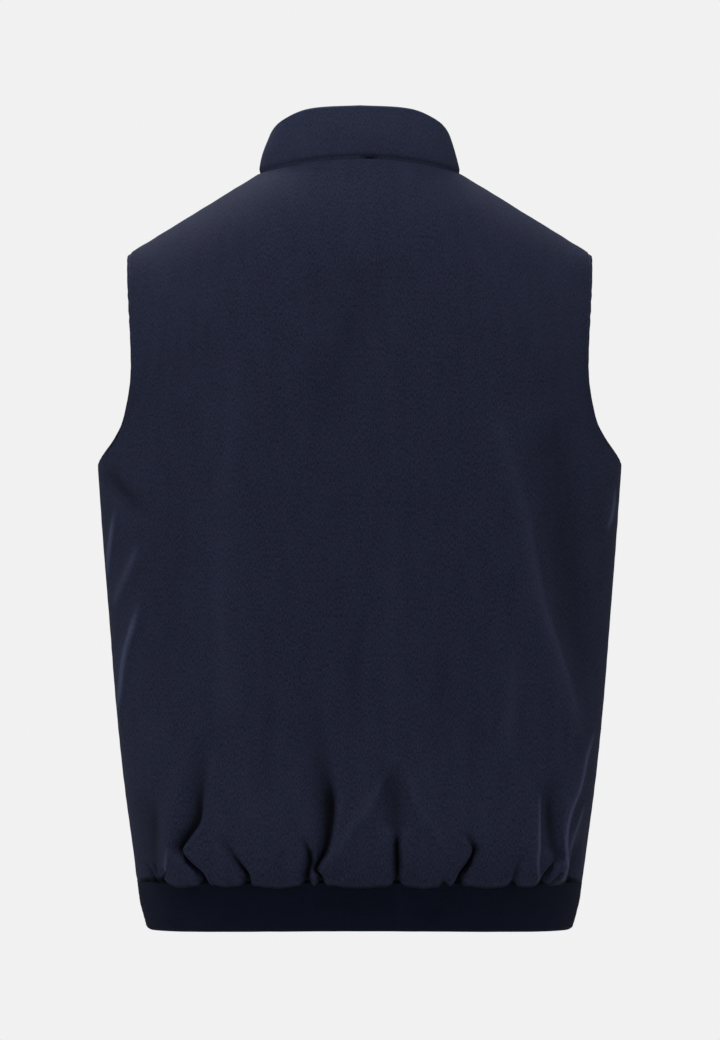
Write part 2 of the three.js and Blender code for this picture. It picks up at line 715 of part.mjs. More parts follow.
function lineLength(line) {
  let total = 0;
  for (let i = 1; i < line.length; i += 1) total += line[i].distanceTo(line[i - 1]);
  return total;
}

// Joins closed geometries into one body
const wasm = await Module();
wasm.setup();
const MERGE_DISTANCE = 1e-5;
function toManifold(geometry) {
  const bare = geometry.clone();
  bare.deleteAttribute('normal');
  bare.deleteAttribute('uv');
  const merged = mergeVertices(bare, MERGE_DISTANCE);
  const index = merged.index.array;
  return new wasm.Manifold(new wasm.Mesh({
    numProp: 3,
    vertProperties: Float32Array.from(merged.attributes.position.array),
    triVerts: Uint32Array.from(index),
  }));
}

function fromManifold(solid) {
  const mesh = solid.getMesh();
  const geometry = new THREE.BufferGeometry();
  geometry.setAttribute('position', new THREE.Float32BufferAttribute(mesh.vertProperties, 3));
  geometry.setIndex(Array.from(mesh.triVerts));
  geometry.computeVertexNormals();
  return geometry;
}

// A flat outline pushed out evenly to both sides of its plane
function extruded(shape, depth) {
  const options = { depth, bevelEnabled: false, curveSegments: ARC_STEPS };
  return new THREE.ExtrudeGeometry(shape, options).translate(0, 0, -depth / 2);
}

// The same along X, with the outline in Y and Z
function extrudeAcross(shape, width) {
  const turn = new THREE.Matrix4().makeBasis(
    new THREE.Vector3(0, 1, 0),
    new THREE.Vector3(0, 0, 1),
    new THREE.Vector3(1, 0, 0),
  );
  return extruded(shape, width).applyMatrix4(turn);
}

// The same along Y, with the outline in X and Z
function extrudeForward(shape, thickness) {
  return extruded(shape, thickness).rotateX(Math.PI / 2);
}

function roundedRectangle(x0, z0, x1, z1, radius, path = new THREE.Shape()) {
  path.moveTo(x0 + radius, z0);
  path.lineTo(x1 - radius, z0);
  path.absarc(x1 - radius, z0 + radius, radius, -Math.PI / 2, 0);
  path.lineTo(x1, z1 - radius);
  path.absarc(x1 - radius, z1 - radius, radius, 0, Math.PI / 2);
  path.lineTo(x0 + radius, z1);
  path.absarc(x0 + radius, z1 - radius, radius, Math.PI / 2, Math.PI);
  path.lineTo(x0, z0 + radius);
  path.absarc(x0 + radius, z0 + radius, radius, Math.PI, 1.5 * Math.PI);
  return path;
}

// Slider: a tapered plate over the chain with a bridge on it. Its origin is the tab's pivot,
// midway inside the bridge, with the plate behind it.
const PLATE_FRONT = BRIDGE.bar + BRIDGE.room;
function sliderGeometry() {
  const outline = new THREE.Shape();
  const half = SLIDER.width / 2;
  const low = -SLIDER.tall / 2;
  const foot = half * SLIDER_SHARES.foot;
  const head = half * SLIDER_SHARES.head;
  const middle = low + SLIDER.tall * SLIDER_SHARES.widest;
  outline.moveTo(-foot, low);
  outline.lineTo(foot, low);
  outline.lineTo(half, middle);
  outline.quadraticCurveTo(half, -low, head, -low);
  outline.lineTo(-head, -low);
  outline.quadraticCurveTo(-half, -low, -half, middle);
  outline.lineTo(-foot, low);
  const plate = extrudeForward(outline, SLIDER.thick);
  plate.translate(0, PLATE_FRONT + SLIDER.thick / 2, 0);

  const reach = BRIDGE.tall / 2;
  const front = PLATE_FRONT - BRIDGE.high;
  const inPlate = PLATE_FRONT + SLIDER.thick / 2;
  const bridge = roundedRectangle(front, -reach, inPlate, reach, BRIDGE.corner);
  bridge.holes.push(roundedRectangle(
    front + BRIDGE.bar,
    -reach + BRIDGE.bar,
    PLATE_FRONT - BRIDGE.sill,
    reach - BRIDGE.bar,
    BRIDGE.windowCorner,
    new THREE.Path(),
  ));
  const arch = extrudeAcross(bridge, BRIDGE.width);
  return fromManifold(toManifold(plate).add(toManifold(arch)));
}

// Pull tab: a flat plate whose window lets the bridge through. Its origin is its pivot.
function tabGeometry() {
  const half = TAB.width / 2;
  const narrow = half * TAB.narrow;
  const wideEnd = -TAB_WINDOW.long - TAB.narrowFrom;
  const narrowEnd = -TAB_WINDOW.long - TAB.narrowTo;
  const cornerEnd = -TAB.long + TAB.corner;
  const outline = new THREE.Shape();
  outline.moveTo(-half, TAB.bar / 2);
  outline.lineTo(-half, wideEnd);
  outline.lineTo(-narrow, narrowEnd);
  outline.lineTo(-narrow, cornerEnd);
  outline.quadraticCurveTo(-narrow, -TAB.long, 0, -TAB.long);
  outline.quadraticCurveTo(narrow, -TAB.long, narrow, cornerEnd);
  outline.lineTo(narrow, narrowEnd);
  outline.lineTo(half, wideEnd);
  outline.lineTo(half, TAB.bar / 2);
  outline.lineTo(-half, TAB.bar / 2);
  outline.holes.push(roundedRectangle(
    -TAB_WINDOW.width / 2,
    -TAB_WINDOW.long - TAB.bar / 2,
    TAB_WINDOW.width / 2,
    -TAB.bar / 2,
    TAB_WINDOW.corner,
    new THREE.Path(),
  ));
  return extrudeForward(outline, TAB.thick);
}

const part = new THREE.Group();
part.add(namedMesh('back', wallSolid(backGrids.outer, backGrids.inner), SHELL));
part.add(namedMesh('front_left', wallSolid(leftGrids.outer, leftGrids.inner), SHELL));
part.add(namedMesh('front_right', wallSolid(rightGrids.outer, rightGrids.inner), SHELL));
part.add(namedMesh('collar', wallSolid(collar.outer, collar.inner), SHELL));
part.add(namedMesh('hem_band', wallSolid(band.outer, band.inner), KNIT));

// The tapes lie behind the front edges and the chain lies on the tapes
const zipTotal = lineLength(ZIP_LINE);
const tapeFront = -TAPE.behind;
const chainBack = tapeFront + SEAM_GAP;
const tapeLine = cutLine(ZIP_LINE, TAPE.below, zipTotal - TAPE.above);
for (const [name, side] of [['zip_tape_left', 1], ['zip_tape_right', -1]]) {
  const edges = [side * TAPE.middleGap, side * TAPE.half].sort((a, b) => a - b);
  const strip = zipStrip(tapeLine, edges[0], edges[1], tapeFront, tapeFront - TAPE.thick);
  part.add(namedMesh(name, strip, WOVEN_TAPE));
}
const boxTop = ZIP_BOX.below + ZIP_BOX.tall;
const boxLine = cutLine(ZIP_LINE, ZIP_BOX.below, boxTop);
const boxFront = chainBack + ZIP_BOX.thick;
part.add(namedMesh(
  'zip_box',
  zipStrip(boxLine, -ZIP_BOX.half, ZIP_BOX.half, boxFront, chainBack),
  DARK_METAL,
));
const chainLine = cutLine(ZIP_LINE, boxTop + SEAM_GAP, zipTotal - CHAIN.above);
const chainFront = chainBack + CHAIN.thick;
part.add(namedMesh(
  'zip_chain',
  zipStrip(chainLine, -CHAIN.half, CHAIN.half, chainFront, chainBack),
  DARK_METAL,
));

// The slider sits near the top of the chain, square to it, and the tab lies on it
const sliderAt = zipTotal - SLIDER.belowTop;
const sliderLine = cutLine(ZIP_LINE, sliderAt - 1, sliderAt + 1);
const sliderNormal = zipNormals(sliderLine)[0];
const pivotOut = chainFront + SLIDER.clear + SLIDER.thick + PLATE_FRONT;
const pivot = new THREE.Vector3(
  0,
  sliderLine[0].x + sliderNormal.x * pivotOut,
  sliderLine[0].y + sliderNormal.y * pivotOut,
);
const lean = Math.atan2(-sliderNormal.y, -sliderNormal.x);
for (const [name, geometry] of [['zip_slider', sliderGeometry()], ['zip_pull_tab', tabGeometry()]]) {
  const mesh = namedMesh(name, geometry, DARK_METAL);
  mesh.position.copy(pivot);
  mesh.rotation.x = lean;
  part.add(mesh);
}

export default part;
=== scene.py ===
# %% [markdown]
# # A padded vest, seen from behind
#
# The vest is worn, with no wearer inside: two body halves of lightly padded cloth, a stand
# collar, a knit band that gathers the hem, and a zip down the front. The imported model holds
# the plain solids. This script lays the finer cloth over them and gives every piece its
# finish.

# %% Load the frame
import math
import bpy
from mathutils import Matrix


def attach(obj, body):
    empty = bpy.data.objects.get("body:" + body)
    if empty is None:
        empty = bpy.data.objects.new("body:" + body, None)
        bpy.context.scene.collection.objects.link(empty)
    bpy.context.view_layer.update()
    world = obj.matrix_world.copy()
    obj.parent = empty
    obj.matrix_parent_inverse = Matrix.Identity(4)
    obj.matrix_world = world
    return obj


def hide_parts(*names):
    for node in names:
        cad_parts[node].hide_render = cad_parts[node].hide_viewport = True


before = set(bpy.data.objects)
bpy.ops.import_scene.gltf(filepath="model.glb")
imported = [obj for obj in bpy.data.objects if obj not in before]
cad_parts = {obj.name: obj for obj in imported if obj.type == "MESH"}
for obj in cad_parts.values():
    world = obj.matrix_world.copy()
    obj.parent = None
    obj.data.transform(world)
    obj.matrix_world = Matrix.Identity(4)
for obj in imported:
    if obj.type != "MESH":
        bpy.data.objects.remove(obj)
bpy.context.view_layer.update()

from types import SimpleNamespace

import bpy
import numpy as np
from mathutils import Matrix, Vector

MM = 0.001
print("nodes:", ", ".join(sorted(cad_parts)))

# %% [markdown]
# ## The shape of the worn garment
#
# A scanned or hand-sculpted shell could be laid over the solids, but it would never quite
# meet them. The cloth is instead worked out from the same sizes as the solids: a half width
# and a depth at every height, a rounded-square section, and a roll over the shoulders.
# Millimetres are easier to read here, and are turned into metres when a mesh is made.

# %% Sizes of the body, in millimetres
def rows(names, *values):
    """A short table: one row for each section or fold, with named columns."""
    return [SimpleNamespace(**dict(zip(names.split(), row))) for row in values]


WALL = 4
SEAM_GAP = 0.3
NECK_HALF_WIDTH = 93
SHOULDER_SLOPE = 0.613
SHOULDER_TIP_X = 214
TIP_FROM = 208
TIP_DROP = 1.2
UNDERARM_Z = -270
HEM_SEAM_Z = -644
BAND_BOTTOM_Z = -688.4
HEM_SAG = 5
SECTION_POWER = 2.4
ZIP_OPENING = 6.5
NECK_SHARE = 0.5

HALF_WIDTHS = rows(
    "z half",
    (-690, 195.5), (-664, 202.3), (-646, 204.8), (-631, 206.8), (-557, 216.8),
    (-484, 224.2), (-410, 230), (-337, 235.8), (-270, 240.6),
)
DEPTHS = rows(
    "z back front",
    (-690, 96, 96), (-646, 104.5, 104.5), (-636, 110, 109), (-612, 113, 113), (-560, 110, 113),
    (-480, 108, 112), (-370, 112, 116), (-270, 116, 120), (-170, 116, 119), (-100, 111, 117),
)
ARMHOLE = rows(
    "z back front",
    (-270, 240.6, 240.6), (-266, 239, 238.4), (-262, 235.6, 233.6), (-254, 228.4, 224.4),
    (-240, 220, 213), (-226, 214.7, 205.2), (-200, 209.3, 197.8), (-173, 208.1, 195.4),
    (-125, 210.8, 200.3), (-98, 212.9, 208.6), (-76, SHOULDER_TIP_X, SHOULDER_TIP_X),
)
BACK, FRONT = rows(
    "name sign roll power neck middle below_roll underarm",
    ("back", 1, 130, 2, 55, 0, 190, 0.63),
    ("front", -1, 240, 1.6, 84, ZIP_OPENING, 320, 0.62),
)


# %% Read a table as a smooth curve
def smooth(t):
    t = np.clip(t, 0, 1)
    return t * t * (3 - 2 * t)


def lerp(a, b, t):
    return a + (b - a) * t


def column(table, name):
    return np.array([getattr(row, name) for row in table], float)


def read(table, key, name, at):
    """Smooth curve through one column of a table that is sorted by its key."""
    keys, values = column(table, key), column(table, name)
    last = len(keys) - 1
    before = np.maximum(np.arange(last + 1) - 1, 0)
    after = np.minimum(np.arange(last + 1) + 1, last)
    slope = (values[after] - values[before]) / (keys[after] - keys[before])
    at = np.clip(at, keys[0], keys[-1])
    i = np.clip(np.searchsorted(keys, at) - 1, 0, last - 1)
    step = keys[i + 1] - keys[i]
    s = (at - keys[i]) / step
    held = lerp(values[i], values[i + 1], s * s * (3 - 2 * s))
    return held + step * s * (1 - s) * ((1 - s) * slope[i] - s * slope[i + 1])


def half_width_at(z):
    return read(HALF_WIDTHS, "z", "half", z)


def depth_at(side, z):
    return read(DEPTHS, "z", side.name, z)


def hem_height(x):
    return HEM_SEAM_Z - HEM_SAG * (x / SHOULDER_TIP_X) ** 2


HEM_HALF_WIDTH = half_width_at(HEM_SEAM_Z)
print("half width at the chest and the hem:", float(half_width_at(-300)), float(HEM_HALF_WIDTH), "mm")


# %% [markdown]
# A point of the body is found from how far it is from the middle and how far down it lies.
# The front and the back use the same functions with other numbers, so that they meet along
# the shoulder and down the side.

# %% The body's surface
def section_share(x, half):
    s = np.minimum(np.abs(x) / half, 1)
    return (1 - s ** SECTION_POWER) ** (1 / SECTION_POWER)


def shoulder_line(x):
    """Height of the line over the shoulders."""
    ax = np.abs(x)
    arch = SHOULDER_SLOPE * NECK_HALF_WIDTH / 2 * (1 - (ax / NECK_HALF_WIDTH) ** 2)
    at_tip = smooth((ax - TIP_FROM) / (SHOULDER_TIP_X - TIP_FROM))
    slope = -SHOULDER_SLOPE * (ax - NECK_HALF_WIDTH) - TIP_DROP * at_tip
    return np.where(ax < NECK_HALF_WIDTH, arch, slope)


def surface(side, x, down):
    """down is 0 on the shoulder line and 1 where the roll over the shoulder ends."""
    angle = np.clip(down, 0, 1) * math.pi / 2
    rolled = side.roll * (1 - np.cos(angle) ** (2 / side.power))
    z = shoulder_line(x) - rolled - np.maximum(down - 1, 0) * side.below_roll
    reach = np.sin(angle) ** (2 / side.power)
    y = side.sign * depth_at(side, z) * section_share(x, half_width_at(z)) * reach
    return np.stack([x, y, z], axis=-1)


def down_from_height(side, x, z):
    drop = (shoulder_line(x) - z) / side.roll
    rolled = np.arccos((1 - np.clip(drop, 0, 1)) ** (side.power / 2)) / (math.pi / 2)
    return np.where(drop >= 1, 1 + (drop - 1) * side.roll / side.below_roll, rolled)


def down_from_depth(side, x, y):
    full = depth_at(side, 0) * section_share(x, half_width_at(0))
    return np.arcsin(np.clip(y / full, 0, 1) ** (side.power / 2)) / (math.pi / 2)


def lengths_along(points):
    """Distance of each point of a run from its first one."""
    steps = np.linalg.norm(np.diff(points, axis=0), axis=-1)
    return np.concatenate([[0], np.cumsum(steps)])


def armhole_curve(side):
    share = (1 - np.cos(np.linspace(0, math.pi, 121))) / 2
    z = lerp(UNDERARM_Z, shoulder_line(SHOULDER_TIP_X), share)
    x = read(ARMHOLE, "z", side.name, z)
    length = lengths_along(surface(side, x, down_from_height(side, x, z)))
    length /= length[-1]
    return lambda at: (np.interp(at, length, x), np.interp(at, length, z))


ARMHOLES = {side.name: armhole_curve(side) for side in (BACK, FRONT)}


def side_spread_curve():
    """Share of the half width that each column has, in even steps round a section."""
    half, depth = half_width_at(UNDERARM_Z), depth_at(BACK, UNDERARM_Z)
    x = np.sin(np.linspace(0, math.pi / 2, 161))
    length = lengths_along(np.stack([x * half, depth * section_share(x * half, half)], -1))
    length /= length[-1]
    return lambda at: np.interp(at, length, x)


side_spread = side_spread_curve()
print("armhole's underarm and tip:", ARMHOLES["back"](0), ARMHOLES["back"](1))


# %% Panels of the body
def top_edge(side, u):
    """Round the neck, then along the shoulder."""
    start = math.asin(side.middle / NECK_HALF_WIDTH)
    angle = lerp(start, math.pi / 2, np.clip(u / NECK_SHARE, 0, 1))
    neck_x = NECK_HALF_WIDTH * np.sin(angle)
    neck_down = down_from_depth(side, neck_x, np.maximum(side.neck * np.cos(angle), 0))
    along = np.clip((u - NECK_SHARE) / (1 - NECK_SHARE), 0, 1)
    shoulder_x = lerp(NECK_HALF_WIDTH, SHOULDER_TIP_X, along)
    at_neck = u <= NECK_SHARE
    return np.where(at_neck, neck_x, shoulder_x), np.where(at_neck, neck_down, 0)


def side_edge(side, v):
    """Up the side seam, then round the armhole."""
    seam_z = lerp(hem_height(HEM_HALF_WIDTH), UNDERARM_Z, np.clip(v / side.underarm, 0, 1))
    hole_x, hole_z = ARMHOLES[side.name](np.clip((v - side.underarm) / (1 - side.underarm), 0, 1))
    on_seam = v <= side.underarm
    x = np.where(on_seam, half_width_at(seam_z), hole_x)
    z = np.where(on_seam, seam_z, hole_z)
    return x, down_from_height(side, x, z)


def panel_point(side, u, v):
    """u runs from the middle to the outer edge, v from the hem to the top."""
    across = np.abs(u)
    edge_x, edge_down = side_edge(side, v)
    top_x, top_down = top_edge(side, across)
    above = smooth((v - side.underarm) / (1 - side.underarm))
    top_spread = (top_x - side.middle) / (SHOULDER_TIP_X - side.middle)
    spread = lerp(side_spread(across), top_spread, above)
    x = side.middle + (edge_x - side.middle) * spread
    hem_x = side.middle + (HEM_HALF_WIDTH - side.middle) * side_spread(across)
    hem_down = down_from_height(side, hem_x, hem_height(hem_x))
    edge_hem_down = down_from_height(side, HEM_HALF_WIDTH, hem_height(HEM_HALF_WIDTH))
    bend = edge_down - lerp(edge_hem_down, 0, v)
    down = lerp(hem_down, top_down, v) + bend * across ** 2
    point = surface(side, x, np.maximum(down, 0))
    point[..., 0] *= np.where(u < 0, -1, 1)
    return point


def unit(vectors):
    return vectors / np.maximum(np.linalg.norm(vectors, axis=-1, keepdims=True), 1e-9)


BODY_CENTRE = np.array([0, 0, -300])
NEARLY = 1e-6


def panel_normal(side, u, v, step=0.004):
    """Outward direction. On the side and shoulder seams it has no part along Y."""
    low = -1 if side is BACK else 0
    along = panel_point(side, np.minimum(u + step, 1), v)
    along -= panel_point(side, np.maximum(u - step, low), v)
    up = panel_point(side, u, np.minimum(v + step, 1))
    up -= panel_point(side, u, np.maximum(v - step, 0))
    on_seam = (np.abs(u) > 1 - NEARLY) & (v <= side.underarm + NEARLY)
    on_shoulder = (np.abs(u) >= NECK_SHARE - NEARLY) & (v > 1 - NEARLY)
    beside_seam = np.stack([up[..., 2], np.zeros_like(up[..., 0]), -up[..., 0]], -1)
    normal = np.where(on_seam[..., None], beside_seam, np.cross(along, up))
    outward = panel_point(side, u, v) - BODY_CENTRE
    normal *= np.where((normal * outward).sum(-1, keepdims=True) < 0, -1, 1)
    normal[..., 1] = np.where(on_shoulder, 0, normal[..., 1])
    return unit(normal)


# %% [markdown]
# ## Gathers and creases
#
# The hem band is shorter than the cloth it holds, so the cloth puffs out above it and is
# drawn in at a few uneven creases. A cloth simulation could find such creases, but never the
# same ones twice in the same places, so they are listed one by one. Each fold is a short table
# from the hem upwards: how high above the hem seam, where across, how far it stands out or
# goes in, and how wide it is towards the wearer's left and right. One narrow side and one
# wide side make the cloth look lapped over, as it is at a real gather.

# %% Folds of the back
FOLD = "rise x height left right"
BACK_FOLDS = {
    "left pucker": rows(FOLD, (0, 173, -4, 3, 3), (6, 176, -6, 3.4, 2.6), (12, 172, -4, 3, 2.6), (17, 169, 0, 3, 3)),
    "left ridge": rows(
        FOLD,
        (4, 180, 0, 3, 3), (9, 177, 2, 3, 2.4), (14, 171, 2.4, 3, 2.4), (24, 168.5, 2, 3, 2.4), (38, 168, 0, 5, 4),
    ),
    "left tuck": rows(FOLD, (0, 184, -3, 3, 2.2), (10, 191, -3, 3, 2.2), (20, 197, 0, 3, 3)),
    "left tuck above": rows(FOLD, (2, 181, 0, 2.4, 2), (12, 184, -2.6, 2.4, 2), (22, 189, 0, 3, 3)),
    "left hollow": rows(FOLD, (0, 185, -4, 14, 12), (30, 186, -5.2, 16, 13), (64, 187, -5, 16, 12), (94, 192, 0, 14, 12)),
    "long bent": rows(
        FOLD,
        (0, 136.5, -8, 3.6, 2.8), (11, 141, -8.6, 4, 2.8), (21, 151, -8.6, 4.4, 3),
        (31, 158, -9, 5, 3.2), (40, 154, -8.6, 7, 3.8), (56, 145, -8, 10, 5),
        (77, 143.5, -6.4, 11, 6), (98, 142, -4.2, 12, 8), (144, 134, 0, 12, 9),
    ),
    "short left": rows(
        FOLD,
        (0, 100, -9, 4, 3.2), (9, 100, -8.6, 4.2, 3.2), (21, 108, -5.4, 5.4, 3.6), (34, 118, -3, 6, 5),
        (46, 121, 0, 7, 6),
    ),
    "beside short left": rows(FOLD, (60, 84, 0, 9, 9), (100, 82, -2, 9, 9), (150, 80, -1.8, 9, 9), (210, 78, 0, 9, 9)),
    "short thin": rows(
        FOLD,
        (0, 47, -9, 4.4, 3.6), (12, 46.5, -9.5, 4.4, 3.6), (21, 44.5, -9, 3.6, 3.6), (28, 45, -7, 3.4, 3.4),
        (37, 48.5, -2, 3.4, 3.4), (42, 50, 0, 4, 4),
    ),
    "long deep": rows(
        FOLD,
        (0, 34, -8, 3.4, 3), (7, 34.5, -8, 3.4, 3), (13, 38.5, -8.6, 4, 3.2), (28, 30.5, -10, 6, 3.4),
        (45, 26.5, -9.6, 10, 3.8), (64, 25, -9, 14, 4.4), (80, 26, -7, 16, 6), (100, 31, -4.6, 16, 9),
        (150, 38, -2, 13, 12), (215, 44, 0, 13, 12),
    ),
    "middle": rows(
        FOLD,
        (0, -33, -9, 5.5, 5.5), (4, -33.5, -9.5, 3.8, 3.8), (18, -34, -11, 4.4, 4.4),
        (33, -33.5, -9, 3.6, 3.6), (44, -34, -4.6, 5, 5), (54, -32, -4.8, 14, 14),
        (84, -31, -4.6, 15, 14), (112, -30, 0, 11, 9),
    ),
    "middle swell": rows(
        FOLD,
        (10, 30, 0, 8, 8), (22, 24, 2.2, 8, 8), (43, 11, 2.6, 8, 8), (73, -8, 2.6, 9, 8), (100, -26, 1.8, 10, 8),
        (120, -36, 0, 10, 9),
    ),
    "middle right swell": rows(FOLD, (16, -84, 0, 7, 6), (48, -66, 2, 7, 7), (83, -50, 2, 7, 7), (108, -42, 0, 7, 7)),
    "centre hollow": rows(FOLD, (120, 2, 0, 9, 9), (160, 2, -2, 10, 10), (215, 1, -2, 10, 10), (250, 0, 0, 10, 10)),
    "centre swell": rows(
        FOLD,
        (110, -34, 0, 14, 14), (170, -32, 1.4, 14, 14), (260, -30, 1.4, 14, 14), (330, -28, 0, 14, 14),
    ),
    "right hollow": rows(FOLD, (90, -78, 0, 10, 10), (130, -77, -2, 10, 10), (190, -75, -2, 10, 10), (245, -74, 0, 10, 10)),
    "next right hollow": rows(FOLD, (66, -104, 0, 9, 9), (110, -103, -2, 9, 9), (165, -103, -1.6, 9, 9), (200, -102, 0, 9, 9)),
    "right swell": rows(FOLD, (90, -132, 0, 9, 9), (130, -134, 2, 9, 9), (200, -137, 2, 9, 9), (250, -139, 0, 9, 9)),
    "small right": rows(FOLD, (0, -75.5, -4.5, 3, 3), (6, -75.5, -3, 3, 3), (13, -76, 0, 3, 3)),
    "hooked": rows(
        FOLD,
        (0, -87, -7, 4, 3.4), (10, -91, -10, 4, 3.8), (20, -98, -10, 3.8, 4.2),
        (30, -102.5, -8, 3.2, 4), (37, -100, -4, 4, 4), (48, -92, 0, 6, 6),
    ),
    "soft right": rows(FOLD, (0, -136, -5, 4, 3), (12, -139.5, -4.4, 4, 3), (32, -145, 0, 5, 4)),
    "right ridge": rows(
        FOLD,
        (0, -159, 0.6, 4, 2.2), (12, -157, 2, 5, 2.2), (28, -156.5, 2.6, 7, 2.2), (45, -156.5, 2.6, 8, 2.3),
        (68, -158, 2, 9, 2.6), (88, -160, 0, 9, 4),
    ),
    "right tuck": rows(
        FOLD,
        (0, -160, -5, 3, 4), (8, -163.5, -6.4, 3, 4.6), (14, -168.5, -6, 3, 5), (23, -176, -5, 6, 5),
        (36, -173, -5.6, 10, 8), (72, -172, -5.6, 12, 10), (104, -178, 0, 12, 10),
    ),
    "right tuck below": rows(FOLD, (1, -169, 0, 2.6, 2), (8, -175, -3.4, 2.6, 2), (17, -181, 0, 2.6, 2)),
    "right crest": rows(
        FOLD,
        (0, -176, 1, 4, 2.2), (8, -179.5, 3, 5, 2.3), (22, -182.5, 3.6, 6, 2.4), (40, -183, 3.6, 6, 2.4),
        (64, -188.5, 3.4, 6, 2.5), (88, -199, 3, 6, 2.6), (119, -206.5, 2.4, 6, 3), (148, -217, 0, 7, 5),
    ),
    "right branch": rows(FOLD, (26, -183, 0, 3, 2.2), (38, -188, 2.4, 4, 2.2), (56, -197, 2.6, 4, 2.3), (76, -206, 0, 4, 4)),
    "right corner": rows(FOLD, (0, -190, -4, 4, 6), (16, -192, -5, 5, 6), (30, -194.5, -4, 4, 6), (46, -199, 0, 5, 5)),
    "upper left crest": rows(
        FOLD,
        (276, 229, 0, 5, 4), (289, 228.5, 2.4, 5, 3), (317, 225, 3, 5, 3), (345, 223, 0, 5, 4),
    ),
    "soft left crest": rows(FOLD, (244, 226, 0, 7, 7), (262, 219, 3.4, 7, 6), (292, 206, 3.6, 7, 6), (312, 200, 0, 7, 6)),
    "lower left crest": rows(
        FOLD,
        (128, 217, 0, 5, 5), (142, 220, 2.4, 5, 3.2), (155, 220, 3.4, 5, 3), (173, 217, 3.6, 6, 3),
        (205, 213.5, 3.6, 7, 3.4), (232, 207, 3, 8, 4), (262, 199, 0, 8, 6),
    ),
    "long right crest": rows(
        FOLD,
        (118, -201, 0, 10, 7), (145, -196, 2.2, 11, 7), (173, -190, 3.2, 12, 7), (213, -176.5, 3.6, 12, 7),
        (253, -161.5, 3.6, 12, 7), (293, -152, 3.2, 13, 8), (333, -144, 2.6, 14, 10), (363, -135, 2.2, 15, 12),
        (403, -126, 2, 16, 14), (453, -108, 0, 18, 18),
    ),
    "right flank": rows(
        FOLD,
        (150, -208, 0, 14, 12), (200, -203, -3.4, 20, 15), (263, -194, -4.5, 28, 22), (320, -186, -4.5, 31, 26),
        (360, -180, -4.1, 28, 24), (398, -178, -4, 24, 20), (428, -186, 0, 16, 16),
    ),
    "right underarm": rows(
        FOLD,
        (318, -226, 0, 6, 5), (332, -229, 2.6, 6, 3), (350, -232, 2, 6, 3), (366, -234, 0, 6, 4),
    ),
    "left underarm": rows(FOLD, (326, 196, 0, 12, 12), (346, 209, -4, 13, 13), (364, 223, -4.6, 12, 12), (382, 231, 0, 9, 9)),
    "left drag": rows(FOLD, (140, 176, 0, 20, 18), (210, 170, -2, 20, 18), (300, 166, -2, 20, 18), (370, 160, 0, 18, 18)),
    "left swell": rows(
        FOLD,
        (112, 116, 0, 18, 22), (160, 119, 1.8, 18, 22), (250, 122, 2.2, 18, 22), (350, 120, 2, 20, 22),
        (440, 112, 1.6, 22, 22), (520, 106, 0, 24, 24),
    ),
    "upper hollow": rows(
        FOLD,
        (380, 32, 0, 24, 24), (413, 30, -2.4, 24, 24), (470, 14, -2.6, 24, 24), (520, -6, -2, 24, 24),
        (560, -20, 0, 24, 24),
    ),
}

# %% Folds of the fronts, in the same manner
FRONT_LEFT_FOLDS = {
    "by the zip": rows(
        FOLD,
        (0, 28, -7, 3, 3.4), (12, 30, -8, 3, 4), (26, 32, -6, 3.2, 6), (44, 27, -3, 5, 8), (62, 22, 0, 6, 8),
    ),
    "thin": rows(FOLD, (0, 47, -5, 3, 3), (10, 48, -3.5, 3, 3), (20, 50, 0, 3, 3)),
    "long": rows(
        FOLD,
        (0, 70, -8, 3, 3.6), (14, 69, -9.5, 3, 5), (34, 72, -9, 3.2, 8), (60, 79, -5.5, 4, 12),
        (88, 82, -2.5, 7, 13), (112, 80, 0, 9, 13),
    ),
    "swell": rows(FOLD, (16, 96, 0, 12, 10), (38, 94, 1.8, 12, 10), (92, 98, 0, 12, 12)),
    "hooked": rows(FOLD, (0, 108, -7, 3.4, 3), (12, 104, -7, 4, 3), (25, 100, -4, 6, 3.4), (40, 102, 0, 7, 5)),
    "bent": rows(
        FOLD,
        (0, 146, -7, 3, 3.6), (12, 149, -8, 3.2, 4), (26, 158, -7, 3.4, 6), (44, 160, -4.5, 4, 9),
        (70, 155, -2, 8, 11), (92, 152, 0, 9, 11),
    ),
    "side": rows(FOLD, (0, 178, -4.5, 4, 3), (14, 182, -3.5, 4, 3), (34, 187, 0, 5, 5)),
    "crest": rows(FOLD, (66, 178, 0, 6, 9), (104, 188, 2.6, 6, 9), (166, 204, 3.2, 6, 9), (214, 212, 2.2, 6, 9), (246, 215, 0, 6, 9)),
    "drag": rows(FOLD, (232, 126, 0, 14, 16), (286, 146, 2.8, 12, 16), (330, 164, 2.6, 12, 14), (362, 178, 0, 12, 12)),
    "upper": rows(FOLD, (452, 34, 0, 15, 15), (498, 44, 1.6, 14, 14), (548, 58, 0, 14, 14)),
}
